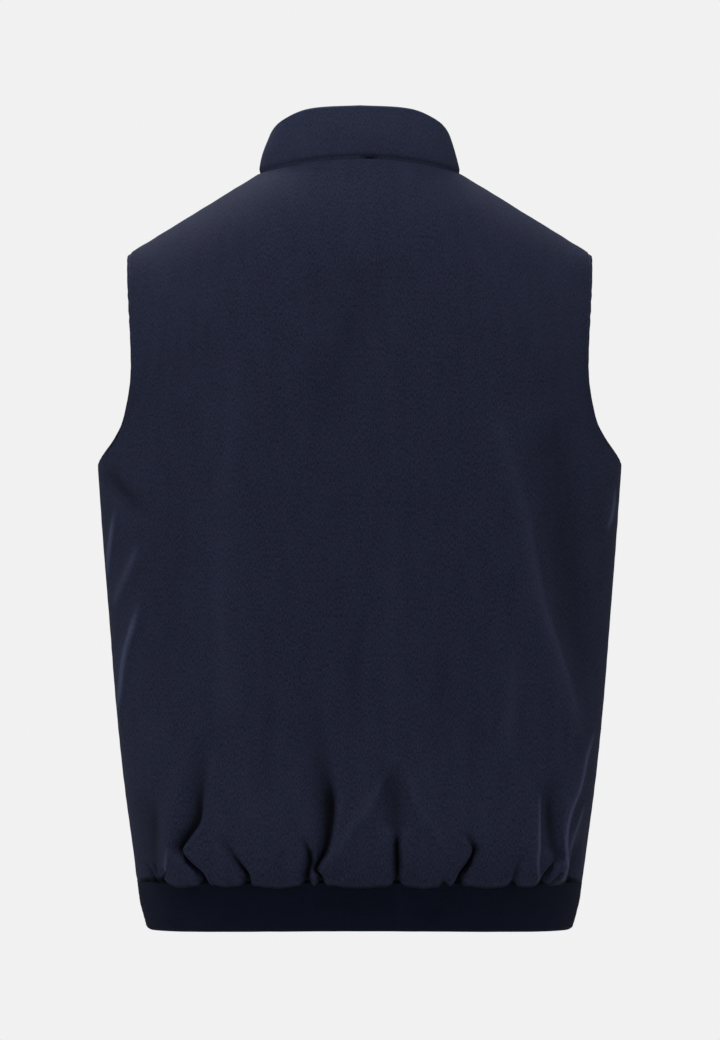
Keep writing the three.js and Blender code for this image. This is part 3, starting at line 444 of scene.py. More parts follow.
FRONT_RIGHT_FOLDS = {
    "by the zip": rows(FOLD, (0, 33, -7.5, 3.4, 3), (14, 34, -8.5, 4, 3), (32, 30, -6, 7, 3.2), (58, 26, -2.5, 8, 5), (76, 24, 0, 8, 6)),
    "thin": rows(FOLD, (0, 64, -6, 3, 3.4), (14, 62, -5, 3, 3.6), (32, 60, 0, 4, 4)),
    "long": rows(
        FOLD,
        (0, 101, -8, 3.6, 3), (13, 105, -9, 4.5, 3), (30, 113, -8.5, 7, 3.2), (52, 116, -5.5, 11, 4),
        (80, 112, -2.6, 12, 7), (104, 108, 0, 12, 9),
    ),
    "short": rows(FOLD, (0, 121, -5, 3, 3), (9, 122, -3.5, 3, 3), (19, 124, 0, 3, 3)),
    "hooked": rows(FOLD, (0, 139, -7, 3, 3.4), (14, 137, -7.5, 3, 4.4), (30, 133, -4, 3.6, 7), (48, 136, 0, 6, 7)),
    "side": rows(FOLD, (0, 174, -5, 3, 4), (18, 180, -5.5, 3.4, 6), (40, 187, -2.6, 6, 8), (62, 190, 0, 7, 8)),
    "swell": rows(FOLD, (18, 80, 0, 10, 12), (44, 82, 1.8, 10, 12), (100, 78, 0, 12, 12)),
    "crest": rows(FOLD, (112, 164, 0, 8, 6), (150, 176, 2.6, 9, 6), (204, 192, 3, 9, 6), (252, 202, 0, 9, 7)),
    "drag": rows(FOLD, (250, 136, 0, 15, 13), (298, 152, 2.8, 15, 12), (338, 168, 2.4, 13, 12), (368, 182, 0, 12, 12)),
    "upper": rows(FOLD, (464, 38, 0, 14, 14), (506, 48, 1.5, 13, 13), (546, 60, 0, 13, 13)),
}
print("folds:", len(BACK_FOLDS), "behind,", len(FRONT_LEFT_FOLDS), "and", len(FRONT_RIGHT_FOLDS), "in front")

# %% Heights of the folds over the plain surface
PUFF_HEIGHT = 7
PUFF_ROUND = 17
PUFF_PEAK = 24
PUFF_FADE = 110
PUFF_SIDE_FADE = 32
FOLD_SIDE_FADE = 6
HANG_DROP = 4.6
HANG_WITHIN = 178
HANG_FADE = 20
HANG_RISE = 14
HANG_ARC = 15
TROUGH_POWER = 2.2
CREST_POWER = 1.3
LIP = 0.12
PINCH = 0.4
DEEPEST = -6
DEEP_CREASE = 8
# Sizes of the painted highlight on crisp crests, the painted soft light on swells and the painted shade along the hem
# seam.
SHARP_CREST = 3
CRISP_WIDTH = 6
SOFT_LIGHT = 0.095
MOST_SOFT_LIGHT = 0.5
SEAM_SHADE = 0.95
SEAM_SHADE_RISE = 7


def fold_at(fold, x, rise):
    """Height of one fold, how far it draws the cloth in, and painted shade where it is a crease and painted highlight
    where it is a crest.
    """
    height = read(fold, "rise", "height", rise)
    away = x - read(fold, "rise", "x", rise)
    left, right = read(fold, "rise", "left", rise), read(fold, "rise", "right", rise)
    share = np.abs(away) / np.where(away > 0, left, right)
    shape = np.exp(-share ** np.where(height < 0, TROUGH_POWER, CREST_POWER))
    lip = -LIP * np.minimum(height, 0) * np.exp(-((share - 2) / 0.8) ** 2)
    narrow = np.minimum(left, right)
    pull = np.clip(-height / DEEP_CREASE, 0, 1) * np.exp(-(away / (2 * narrow)) ** 2)
    crisp = 1 - smooth((narrow - CRISP_WIDTH / 2) / CRISP_WIDTH)
    # edge is a painted highlight along crisp crests, light is painted soft light over swells, and hollow is painted
    # shade in creases.
    edge = np.exp(-(away / (0.6 * narrow)) ** 2) * np.clip(height / SHARP_CREST, 0, 1) * crisp
    light = shape * np.clip(height * SOFT_LIGHT, 0, MOST_SOFT_LIGHT)
    hollow = shape * np.clip(-height / DEEP_CREASE, 0, 1)
    return height * shape + lip, -away * PINCH * pull, np.maximum(edge, light) - hollow


def fold_heights(folds, point):
    """Height of the puffed and folded cloth, the sideways draw, and painted shade in the creases and painted highlight
    on the crests.
    """
    x, z = point[..., 0], point[..., 2]
    rise = np.maximum(z - hem_height(x), 0)
    at_seam = 1 - np.clip(rise / PUFF_ROUND, 0, 1)
    rounded = np.sqrt(1 - (0.96 * at_seam) ** 2)
    fade = 1 - smooth((rise - PUFF_PEAK) / PUFF_FADE)
    from_side = half_width_at(z) - np.abs(x)
    height = PUFF_HEIGHT * rounded * fade * smooth(from_side / PUFF_SIDE_FADE)
    drawn, painted_light_and_shade = np.zeros_like(x), np.zeros_like(x)
    for fold in folds.values():
        lift, draw, one_fold_light_and_shade = fold_at(fold, x, rise)
        height = height + lift
        drawn += draw
        painted_light_and_shade = np.where(np.abs(one_fold_light_and_shade) > np.abs(painted_light_and_shade), one_fold_light_and_shade, painted_light_and_shade)
    # Painted shade along the hem seam, where the puffed cloth meets the band.
    painted_light_and_shade = painted_light_and_shade - SEAM_SHADE * (1 - smooth(rise / SEAM_SHADE_RISE))
    near_side = smooth(from_side / FOLD_SIDE_FADE)
    return np.maximum(height, DEEPEST) * near_side, drawn * near_side, painted_light_and_shade * near_side


def hang(folds, point):
    """How far the cloth's lower edge hangs over the band, in arcs between the gathers."""
    x = point[..., 0]
    rise = point[..., 2] - hem_height(x)
    inside = 1 - smooth((np.abs(x) - HANG_WITHIN + HANG_FADE) / HANG_FADE)
    held = np.zeros_like(x)
    for fold in folds.values():
        foot = fold[0]
        if foot.rise == 0 and foot.height < 0:
            near = np.exp(-np.abs((x - foot.x) / HANG_ARC) ** 1.5)
            held = np.maximum(held, near * min(-foot.height / DEEP_CREASE, 1))
    return HANG_DROP * inside * (1 - held) * (1 - smooth(rise / HANG_RISE))


# %% [markdown]
# ## A wall of cloth
#
# Every cloth piece is made the same way: a fine grid for the outside, a coarser one for the
# inside, and a rim that turns round between them. A Solidify modifier could add the inside,
# but its rim is a flat strip, and a turned edge of padded cloth is round. Each piece gets a
# map of the cloth in metres, so that the weave has one size everywhere.

# %% Make a closed wall from two grids
UV_NAME = "cloth"
# Name of the attribute that carries the painted highlight and painted shade of the folds and the collar.
PAINTED_SHADING_NAME = "painted_fold_shading"
RIM_BULGE = 0.32


def arc_grid(points, axis, start=0):
    """Length along the rows (axis 1) or columns (axis 0) of a grid, from one of its lines."""
    steps = np.linalg.norm(np.diff(points, axis=axis), axis=-1)
    shape = list(steps.shape)
    shape[axis] = 1
    length = np.concatenate([np.zeros(shape), np.cumsum(steps, axis=axis)], axis=axis)
    return length - np.take(length, [start], axis=axis)


def border_of(row_count, column_count):
    """Row and column numbers round a grid, from its first corner."""
    j, i = row_count - 1, column_count - 1
    loop = [(0, a) for a in range(i)] + [(b, i) for b in range(j)]
    loop += [(j, a) for a in range(i, 0, -1)] + [(b, 0) for b in range(j, 0, -1)]
    return loop


def mesh_object(name, points, faces, uv=None):
    """A mesh from points in millimetres, with its object at the origin."""
    mesh = bpy.data.meshes.new(name)
    mesh.from_pydata((np.asarray(points) * MM).tolist(), [], faces)
    if uv is not None:
        layer = mesh.uv_layers.new(name=UV_NAME)
        corner = np.empty(len(mesh.loops), int)
        mesh.loops.foreach_get("vertex_index", corner)
        layer.data.foreach_set("uv", (np.asarray(uv) * MM)[corner].ravel())
    mesh.polygons.foreach_set("use_smooth", [True] * len(mesh.polygons))
    mesh.update()
    piece = bpy.data.objects.new(name, mesh)
    bpy.context.scene.collection.objects.link(piece)
    return piece


def cloth_wall(name, outer, inner, uv, middle=0):
    """A closed wall. The inside has every second point of its grid."""
    row_count, column_count = outer.shape[:2]
    assert row_count % 2 == 1 and column_count % 2 == 1, name
    outer_at = np.arange(row_count * column_count).reshape(row_count, column_count)
    inner_grid = inner[::2, ::2]
    inner_at = np.arange(inner_grid.shape[0] * inner_grid.shape[1]).reshape(inner_grid.shape[:2])
    inner_at = inner_at + outer_at.size
    border = border_of(row_count, column_count)
    rim_from = outer_at.size + inner_at.size
    bj, bi = np.array(border).T
    edge_outer, edge_inner = outer[bj, bi], inner[bj, bi]
    inward = outer[np.clip(bj, 1, row_count - 2), np.clip(bi, 1, column_count - 2)]
    away = unit(edge_outer - inward)
    across = unit(edge_outer - edge_inner)
    away = unit(away - across * (away * across).sum(-1, keepdims=True))
    thick = np.linalg.norm(edge_outer - edge_inner, axis=-1, keepdims=True)
    rim = (edge_outer + edge_inner) / 2 + away * thick * RIM_BULGE
    points = np.concatenate([outer.reshape(-1, 3), inner_grid.reshape(-1, 3), rim])
    all_uv = np.concatenate([uv.reshape(-1, 2), uv[::2, ::2].reshape(-1, 2), uv[bj, bi]])

    def quads(at, flip):
        a, b, c, d = at[:-1, :-1], at[:-1, 1:], at[1:, 1:], at[1:, :-1]
        order = (a, d, c, b) if flip else (a, b, c, d)
        return np.stack(order, -1).reshape(-1, 4)

    faces = quads(outer_at, False).tolist() + quads(inner_at, True).tolist()
    count = len(border)
    for k in range(0, count, 2):
        (aj, ai), (cj, ci) = border[k], border[(k + 2) % count]
        (mj, mi), (ra, rb, rc) = border[k + 1], (k, k + 1, (k + 2) % count)
        ra, rb, rc = ra + rim_from, rb + rim_from, rc + rim_from
        faces.append([outer_at[mj, mi], outer_at[aj, ai], ra, rb])
        faces.append([outer_at[cj, ci], outer_at[mj, mi], rb, rc])
        faces.append([rc, rb, ra, inner_at[aj // 2, ai // 2], inner_at[cj // 2, ci // 2]])
    first = np.array(faces[len(faces) // 4])
    piece = mesh_object(name, points, [list(map(int, face)) for face in faces], all_uv)
    face = piece.data.polygons[outer_at.shape[1] * (row_count // 2)]
    around = Vector((0, 0, face.center.z))
    if (face.center - around).dot(face.normal) < 0:
        piece.data.flip_normals()
    print(name, "has", len(piece.data.polygons), "faces;", "first rim", first[:1])
    return piece


# %% [markdown]
# ## The body panels
#
# Near its edges a padded panel is drawn down by the seam, and the armhole is turned under
# and stitched a few millimetres in. Both are small heights that depend on the distance from
# an edge, so that distance is measured on the grid first. The grid has more lines near the
# edges and above the hem, where the form changes fastest.

# %% Lines of the panel grids
EDGE_STEPS = np.array([0, 0.5, 1.2, 2, 3, 4, 5, 6.5, 8.5, 11])
PANEL_WIDTH = 290
PANEL_HEIGHT = 690


def even_count(lines):
    """Drops one middle line if the number of cells is odd."""
    lines = np.unique(np.round(lines, 6))
    return lines if len(lines) % 2 == 1 else np.delete(lines, len(lines) // 2)


def column_lines(fine_start, cell=1.6):
    fine = EDGE_STEPS / PANEL_WIDTH
    plain = np.arange(0, 1, cell / PANEL_WIDTH)
    plain = plain[plain < 1 - fine[-1] - cell / PANEL_WIDTH / 2]
    parts = [plain, 1 - fine]
    if fine_start:
        parts[0] = plain[plain > fine[-1] + cell / PANEL_WIDTH / 2]
        parts.append(fine)
    return np.concatenate(parts)


def row_lines():
    low = np.cumsum([0] + [1.5] * 28 + [2.4] * 24)
    rest = np.arange(low[-1], PANEL_HEIGHT - EDGE_STEPS[-1] - 2, 5)[1:]
    return even_count(np.concatenate([low, rest, PANEL_HEIGHT - EDGE_STEPS]) / PANEL_HEIGHT)


half_lines = column_lines(False)
BACK_COLUMNS = np.unique(np.round(np.concatenate([-half_lines, half_lines]), 6))
FRONT_COLUMNS = even_count(column_lines(True))
PANEL_ROWS = row_lines()
print("panel grid:", len(BACK_COLUMNS), "columns behind,", len(FRONT_COLUMNS), "in front,",
      len(PANEL_ROWS), "rows")

# %% Heights near the edges, and faint unevenness
SEAM_DIP = 1.3
SEAM_REACH = 5
RIM_RADIUS = 1.8
STITCH_INSET = 4
STITCH_GROOVE = 0.55
PUCKER = 0.32
THINNEST = 2.2
waves = np.random.default_rng(7)


def uneven(a, b, low, high, count=14):
    """A smooth random height between about -1 and 1, with waves between two lengths."""
    total = np.zeros(np.broadcast(a, b).shape)
    for _ in range(count):
        turn = waves.uniform(0, math.pi)
        length = waves.uniform(low, high)
        phase = waves.uniform(0, 2 * math.pi)
        total += np.sin(2 * math.pi * (a * math.cos(turn) + b * math.sin(turn)) / length + phase)
    return total / math.sqrt(count)


def round_over(distance, radius=RIM_RADIUS):
    """How far a rounded edge falls away at a distance from it."""
    t = 1 - np.clip(distance / radius, 0, 1)
    return radius * (1 - np.sqrt(1 - (0.92 * t) ** 2))


def turned_edge(distance, along):
    """A turned and stitched edge: a groove at the stitches, puckers, and a round rim."""
    groove = STITCH_GROOVE * np.exp(-((distance - STITCH_INSET) / 1.1) ** 2)
    pucker = PUCKER * uneven(along, along * 0, 7, 17, 9) * np.exp(-(distance / 7) ** 2)
    return pucker - groove - round_over(distance) * 0.8


def drawn_seam(distance, along):
    """A seam that pulls the padding down."""
    pucker = 0.5 * PUCKER * uneven(along, along * 0, 9, 24, 9) * np.exp(-(distance / 9) ** 2)
    return pucker - SEAM_DIP * (1 - smooth(distance / SEAM_REACH))


# %% The back and the two fronts
def paint_light_and_shade_on(piece, painted_light_and_shade):
    """Keeps painted highlight, 1 on crests, and painted shade, -1 in creases, as an attribute that the finish can
    read.
    """
    layer = piece.data.attributes.new(PAINTED_SHADING_NAME, "FLOAT", "POINT")
    values = np.zeros(len(piece.data.vertices))
    values[:painted_light_and_shade.size] = painted_light_and_shade.ravel()
    layer.data.foreach_set("value", values)


def body_panel(name, side, u_lines, mirror, folds):
    u, v = np.meshgrid(u_lines, PANEL_ROWS)
    base, normal = panel_point(side, u, v), panel_normal(side, u, v)
    base[..., 1] += side.sign * SEAM_GAP / 2
    middle = len(u_lines) // 2 if side is BACK else 0
    across, up = arc_grid(base, 1, middle), arc_grid(base, 0)
    from_outer = np.maximum(np.abs(across[:, [-1]]) - np.abs(across), 0)
    from_top = up[-1:] - up
    height, drawn, painted_light_and_shade = fold_heights(folds, base)
    at_armhole = smooth((v - side.underarm + 0.004) / 0.008)
    height += at_armhole * turned_edge(from_outer, up)
    height += (1 - at_armhole) * drawn_seam(from_outer, up)
    height += drawn_seam(from_top, across)
    if side is FRONT:
        height += turned_edge(np.abs(across), up)
    rise = base[..., 2] - hem_height(base[..., 0])
    calm = smooth(from_outer / 25) * smooth(from_top / 30)
    height += 0.45 * calm * uneven(across, up * 0.45, 45, 120)
    height += 0.4 * np.exp(-(rise / 16) ** 2) * uneven(across, up * 0.15, 4.5, 9, 9)
    outer = base + normal * height[..., None]
    outer += unit(np.gradient(base, axis=1)) * drawn[..., None]
    outer[..., 2] -= hang(folds, base)
    thick = WALL - 0.9 * at_armhole * (1 - smooth(from_outer / 9))
    thick = thick - round_over(from_outer) * 0.5
    thick = np.maximum(thick, THINNEST - height)
    inner = base - normal * thick[..., None]
    uv = np.stack([across, up], -1)
    if mirror:
        outer[..., 0] *= -1
        inner[..., 0] *= -1
        uv[..., 0] *= -1
    piece = cloth_wall(name, outer, inner, uv)
    paint_light_and_shade_on(piece, painted_light_and_shade)
    return SimpleNamespace(
        piece=piece, outer=outer, inner=inner, across=across, up=up,
        from_outer=from_outer, v=v,
    )


back = body_panel("back_cloth", BACK, BACK_COLUMNS, False, BACK_FOLDS)
front_left = body_panel("front_left_cloth", FRONT, FRONT_COLUMNS, False, FRONT_LEFT_FOLDS)
front_right = body_panel("front_right_cloth", FRONT, FRONT_COLUMNS, True, FRONT_RIGHT_FOLDS)

# %% [markdown]
# ## The stand collar
#
# The collar is one padded strip that is folded at its top and sewn to the neck seam. Its
# lower edge follows that seam, and its top is a smaller ring that lies further forward, as
# a worn collar leans in towards the neck.

# %% Sizes of the collar
COLLAR_TOP = SimpleNamespace(half_width=83, back=51, front=66, shift=-4)
COLLAR_HEIGHTS = rows(
    "angle z",
    (0, 59.6), (35, 57.2), (60, 48.2), (75, 40.6), (90, 32), (120, 9), (150, -18), (180, -29),
)
COLLAR_WALL = 4
COLLAR_BULGE = 1.6
COLLAR_ROUND = 2
COLLAR_WAVE = 0.4
# Painted light over the whole collar, and painted shadow in a small patch at the middle of its seam.
COLLAR_PAINTED_LIGHT = 0.27
NOTCH_PAINTED_SHADOW = SimpleNamespace(x=-9, half_width=7, tall=1.8, dark=1)
COLLAR_CELLS_FRONT = 56
COLLAR_CELLS_BACK = 120


def neck_edge(side, u, mirror):
    """Wall edges of a panel's neck, outside and inside."""
    v = np.ones_like(u)
    base, normal = panel_point(side, u, v), panel_normal(side, u, v)
    base[:, 1] += side.sign * SEAM_GAP / 2
    if mirror:
        base[:, 0] *= -1
        normal[:, 0] *= -1
    return base, base - normal * WALL


def neck_ring():
    """From the left front edge, round the back, to the right front edge."""
    front = np.linspace(0, NECK_SHARE, COLLAR_CELLS_FRONT + 1)[:-1]
    behind = np.linspace(NECK_SHARE, -NECK_SHARE, COLLAR_CELLS_BACK + 1)
    parts = [
        neck_edge(FRONT, front, False),
        neck_edge(BACK, behind, False),
        neck_edge(FRONT, front[::-1], True),
    ]
    return [np.concatenate(side) for side in zip(*parts)]


def collar_top(point):
    depth = np.where(point[:, 1] > 0, BACK.neck, FRONT.neck)
    angle = np.arctan2(np.abs(point[:, 0]) / NECK_HALF_WIDTH, point[:, 1] / depth)
    reach = np.where(angle < math.pi / 2, COLLAR_TOP.back, COLLAR_TOP.front)
    x = COLLAR_TOP.half_width * np.sin(angle) * np.sign(point[:, 0])
    x[[0, -1]] = np.sign(point[[0, -1], 0]) * ZIP_OPENING
    z = read(COLLAR_HEIGHTS, "angle", "z", np.degrees(angle))
    return np.stack([x, reach * np.cos(angle) + COLLAR_TOP.shift, z], -1)


# %% The collar's wall
def collar_wall():
    ring, ring_inner = neck_ring()
    tangent = np.gradient(ring, axis=0)
    wall = unit(ring - ring_inner)
    inward = unit(np.cross(tangent, wall))
    axis = np.array([0, -10, 40]) + ring * [0, 0, 1]
    inward *= np.where((inward * (axis - ring)).sum(-1, keepdims=True) < 0, -1, 1)
    bottom = ring + inward * SEAM_GAP
    bottom_inner = ring_inner + inward * SEAM_GAP
    rise = collar_top(ring) - bottom
    facing = unit(np.cross(tangent, rise))
    outward = (bottom - axis) * [1, 1, 0]
    facing *= np.where((facing * outward).sum(-1, keepdims=True) < 0, -1, 1)
    around = lengths_along(ring)
    tall = np.linalg.norm(rise, axis=-1)
    shares = np.concatenate([np.array([0, 0.6, 1.4, 2.4, 3.6, 5]) / 60, np.linspace(0.12, 0.9, 23),
                             1 - np.array([4, 2.8, 1.8, 1, 0.4, 0]) / 60])
    shares = np.asarray(even_count(shares))[:, None]
    up, around = shares * tall, around + shares * 0
    middle = np.sin(math.pi * shares)
    points = bottom + rise * shares[..., None] + facing * (COLLAR_BULGE * middle)[..., None]
    blend = 1 - smooth(np.minimum(shares * 2, 1))
    behind = lerp(points - facing * COLLAR_WALL, bottom_inner, blend[..., None])
    from_end = np.minimum(around, around[:, -1:] - around)
    rounded = round_over(tall - up, COLLAR_ROUND)
    relief = drawn_seam(up, around) + turned_edge(from_end, up) - rounded
    relief += COLLAR_WAVE * middle * uneven(around, up, 40, 110)
    outer = points + facing * relief[..., None]
    inner = behind + facing * (rounded * 0.8)[..., None]
    return outer, inner, np.stack([around, up], -1)


collar_outer, collar_inner, collar_uv = collar_wall()
collar = cloth_wall("collar_cloth", collar_outer, collar_inner, collar_uv)
# Painted shadow in a small patch at the middle of the collar's seam, and painted light over the rest of the collar.
notch_painted_shadow = np.exp(-((collar_outer[..., 0] - NOTCH_PAINTED_SHADOW.x) / NOTCH_PAINTED_SHADOW.half_width) ** 4)
notch_painted_shadow *= np.exp(-(collar_uv[..., 1] / NOTCH_PAINTED_SHADOW.tall) ** 2) * (collar_outer[..., 1] > 0)
paint_light_and_shade_on(collar, COLLAR_PAINTED_LIGHT - (COLLAR_PAINTED_LIGHT + NOTCH_PAINTED_SHADOW.dark) * notch_painted_shadow)

# %% [markdown]
# ## The hem band
#
# The band is a strip of knit, folded double, so its lower edge is round and its upper edge
# is lost in the seam. It lies just inside the puffed cloth.

# %% Sizes and wall of the band
BAND_WALL = 4
BAND_CELLS = 320
BAND_INSET_SIDE = 0.4
BAND_INSET_MIDDLE = WALL + SEAM_GAP
BAND_ROUND = 2.6


def band_wall():
    drop = np.array([0, 0.25, 0.7, 1.3, 2, 2.8, 4, 6])
    height = HEM_SEAM_Z - SEAM_GAP - BAND_BOTTOM_Z
    levels = even_count(np.concatenate([drop, np.linspace(8, height - 1, 19), [height]]))
    turn = np.linspace(-2, 2, BAND_CELLS + 1)
    behind = np.abs(turn) <= 1
    across = np.where(behind, np.abs(turn), 2 - np.abs(turn))
    middle = np.where(behind, 0, ZIP_OPENING)
    sign = np.where(behind, 1, -1)

    def place(level, inset):
        half = half_width_at(level) - BAND_INSET_SIDE - inset
        depth = np.where(behind, depth_at(BACK, level), depth_at(FRONT, level))
        depth = depth - BAND_INSET_MIDDLE - inset
        x = middle + (half - middle) * side_spread(across)
        y = sign * depth * section_share(x, half)
        z = level + hem_height(x) - HEM_SEAM_Z
        return np.stack([np.where(turn < 0, -x, x), y, z], -1)

    around = lengths_along(place(BAND_BOTTOM_Z + height / 2, 0))
    around -= around[-1] / 2
    from_end = around[-1] - np.abs(around)
    outer, inner, uv = [], [], []
    for rise in levels:
        level = BAND_BOTTOM_Z + rise
        inset = round_over(rise, BAND_ROUND) * 0.8 + round_over(from_end, 1.6) * 0.6
        inset = inset - 0.12 * uneven(around, around * 0 + rise * 2, 18, 60, 8)
        outer.append(place(level, inset))
        inner.append(place(level, BAND_WALL - round_over(rise, BAND_ROUND) * 0.6))
        uv.append(np.stack([around, around * 0 + rise], -1))
    return np.array(outer), np.array(inner), np.array(uv)


band_outer, band_inner, band_uv = band_wall()
band = cloth_wall("hem_band_cloth", band_outer, band_inner, band_uv)

# %% [markdown]
# ## Stitches
#
# A stitch shows as a short thread that dives into the cloth at both ends. One is modelled
# and copied along each line, and the copies are one mesh, because a line of separate objects
# would be slow and no better.

# %% One stitch, modelled
def only(piece):
    bpy.ops.object.select_all(action="DESELECT")
    piece.select_set(True)
    bpy.context.view_layer.objects.active = piece


def take_mesh(piece):
    """Points in millimetres and faces of a modelled piece, which is then removed."""
    only(piece)
    bpy.ops.object.transform_apply(location=True, rotation=True, scale=True)
    points = np.array([v.co for v in piece.data.vertices]) / MM
    faces = [list(p.vertices) for p in piece.data.polygons]
    bpy.data.objects.remove(piece)
    return points, faces


def model_stitch(length, radius):
    bpy.ops.object.select_all(action="DESELECT")
    bpy.ops.mesh.primitive_uv_sphere_add(
        segments=6, ring_count=5, radius=radius * MM, rotation=(0, math.pi / 2, 0),
        scale=(1, 1, length / 2 / radius),
    )
    return take_mesh(bpy.context.object)


def copies(template, centres, along, out, name, finish_uv=None):
    """One mesh of many copies. Local X goes along, local Z out of the surface."""
    points, faces = template
    along = unit(along)
    side = unit(np.cross(out, along))
    out = np.cross(along, side)
    frames = np.stack([along, side, out], axis=1)
    placed = np.einsum("pk,nkc->npc", points, frames) + centres[:, None]
    count = len(points)
    all_faces = [[k * count + i for i in face] for k in range(len(centres)) for face in faces]
    return mesh_object(name, placed.reshape(-1, 3), all_faces)


def along_line(line, out, pitch, start=0):
    """Even places along a line, with their direction and their outward direction."""
    length = lengths_along(line)
    at = np.arange(start + pitch / 2, length[-1] - pitch / 2, pitch)
    place = np.stack([np.interp(at, length, line[:, k]) for k in range(3)], -1)
    ahead = np.stack([np.interp(at + 0.5, length, line[:, k]) for k in range(3)], -1)
    behind = np.stack([np.interp(at - 0.5, length, line[:, k]) for k in range(3)], -1)
    facing = np.stack([np.interp(at, length, out[:, k]) for k in range(3)], -1)
    return place, ahead - behind, unit(facing)


# %% Lines of stitches beside the armholes and the zip
STITCH = SimpleNamespace(length=2.9, pitch=3.5, radius=0.24)


def grid_normals(outer):
    normal = unit(np.cross(np.gradient(outer, axis=1), np.gradient(outer, axis=0)))
    centre = np.array([0, 0, 0]) + outer * [0, 0, 1]
    return normal * np.where((normal * (outer - centre)).sum(-1, keepdims=True) < 0, -1, 1)


def line_at(distances, outer, normals, inset):
    """Points of a grid at one distance from an edge, a point for each row."""
    points, facing = [], []
    for distance, row, normal in zip(distances, outer, normals):
        order = np.argsort(distance)
        points.append([np.interp(inset, distance[order], row[order, k]) for k in range(3)])
        facing.append([np.interp(inset, distance[order], normal[order, k]) for k in range(3)])
    return np.array(points), np.array(facing)


def armhole_lines(panel, underarm):
    above = panel.v[:, 0] > underarm + 0.004
    normals = grid_normals(panel.outer)
    half = panel.outer.shape[1] // 2
    halves = [slice(0, half), slice(half, None)] if panel is back else [slice(None)]
    return [
        line_at(panel.from_outer[above, h], panel.outer[above, h], normals[above, h], STITCH_INSET)
        for h in halves
    ]


stitch = model_stitch(STITCH.length, STITCH.radius)
stitch_lines = armhole_lines(back, BACK.underarm)
stitch_lines += armhole_lines(front_left, FRONT.underarm)
stitch_lines += armhole_lines(front_right, FRONT.underarm)
for panel in (front_left, front_right):
    normals = grid_normals(panel.outer)
    stitch_lines.append(line_at(np.abs(panel.across), panel.outer, normals, STITCH_INSET))


def stitching(name, lines):
    placed = [along_line(line, out, STITCH.pitch) for line, out in lines]
    centres, along, out = (np.concatenate(part) for part in zip(*placed))
    return copies(stitch, centres, along, out, name)


edge_stitches = stitching("edge_stitching", stitch_lines)
print("stitches:", len(edge_stitches.data.polygons), "faces")

# %% [markdown]
# ## The zip
#
# The chain's solid is a plain bar. Real teeth are small hooks that alternate from the two
# tapes. One tooth is modelled from a cube, and the rows are copies of it along the bar.

# %% The line of the chain, from its solid
def strip_line(node):
    """Middle line and outward direction of a strip that was made along a line."""
    points = np.array([v.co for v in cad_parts[node].data.vertices]) / MM
    section = np.unique(np.round(points[:, 1:], 3), axis=0)
    gap = np.linalg.norm(section[:, None] - section[None], axis=-1) + np.eye(len(section)) * 1e6
    partner = gap.argmin(1)
    front = np.array([k for k in range(len(section)) if section[k, 0] < section[partner[k], 0]])
    middle = (section[front] + section[partner[front]]) / 2
    out = section[front] - section[partner[front]]
    order = middle[:, 1].argsort()
    pad = np.zeros((len(order), 1))
    return np.hstack([pad, middle[order]]), unit(np.hstack([pad, out[order]]))


chain_line, chain_out = strip_line("zip_chain")
print("chain length:", round(float(lengths_along(chain_line)[-1]), 1), "mm")

# %% One tooth, and both rows
TOOTH = SimpleNamespace(tall=1.35, wide=3.3, thick=2.2, pitch=2.5, head=0.9)


def model_tooth():
    bpy.ops.object.select_all(action="DESELECT")
    bpy.ops.mesh.primitive_cube_add(size=1, scale=(TOOTH.tall * MM, TOOTH.wide * MM, TOOTH.thick * MM))
    bpy.ops.object.transform_apply(location=True, rotation=True, scale=True)
    bpy.ops.object.mode_set(mode="EDIT")
    bpy.ops.mesh.select_all(action="SELECT")
    bpy.ops.mesh.bevel(offset=0.28 * MM, segments=1)
    bpy.ops.object.mode_set(mode="OBJECT")
    return take_mesh(bpy.context.object)


tooth = model_tooth()
rows_of_teeth = []
for sign, start in ((1, 0), (-1, TOOTH.pitch / 2)):
    centres, along, out = along_line(chain_line, chain_out, TOOTH.pitch, start)
    centres[:, 0] += sign * (TOOTH.wide / 2 - 0.45)
    rows_of_teeth.append((centres, along, out))
teeth = copies(tooth, *(np.concatenate(part) for part in zip(*rows_of_teeth)), "zip_teeth")
print("teeth:", len(teeth.data.polygons), "faces")


# %% The slider and its tab, with soft edges
def softened(node, name, width, faces_angle=40):
    """A copy of a CAD node, merged, with bevelled edges."""
    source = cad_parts[node]
    piece = bpy.data.objects.new(name, source.data.copy())
    bpy.context.scene.collection.objects.link(piece)
    only(piece)
    bpy.ops.object.mode_set(mode="EDIT")
    bpy.ops.mesh.select_all(action="SELECT")
    bpy.ops.mesh.remove_doubles(threshold=0.00001)
    bpy.ops.mesh.dissolve_limited(angle_limit=math.radians(3))
    bpy.ops.object.mode_set(mode="OBJECT")
    bevel = piece.modifiers.new("edges", "BEVEL")
    bevel.width = width * MM
    bevel.segments = 2
    bevel.limit_method = "ANGLE"
    bevel.angle_limit = math.radians(faces_angle)
    bpy.ops.object.modifier_apply(modifier=bevel.name)
    bpy.ops.object.shade_smooth_by_angle(angle=math.radians(40))
    return piece


slider = softened("zip_slider", "slider", 0.22)
pull_tab = softened("zip_pull_tab", "pull_tab", 0.22)
stop_box = softened("zip_box", "box_at_hem", 0.5)

# %% [markdown]
# ## Finishes
#
# Every finish is worked out by nodes. A small class wraps a socket, so that sums of masks
# are written as sums, and one method makes any other node.

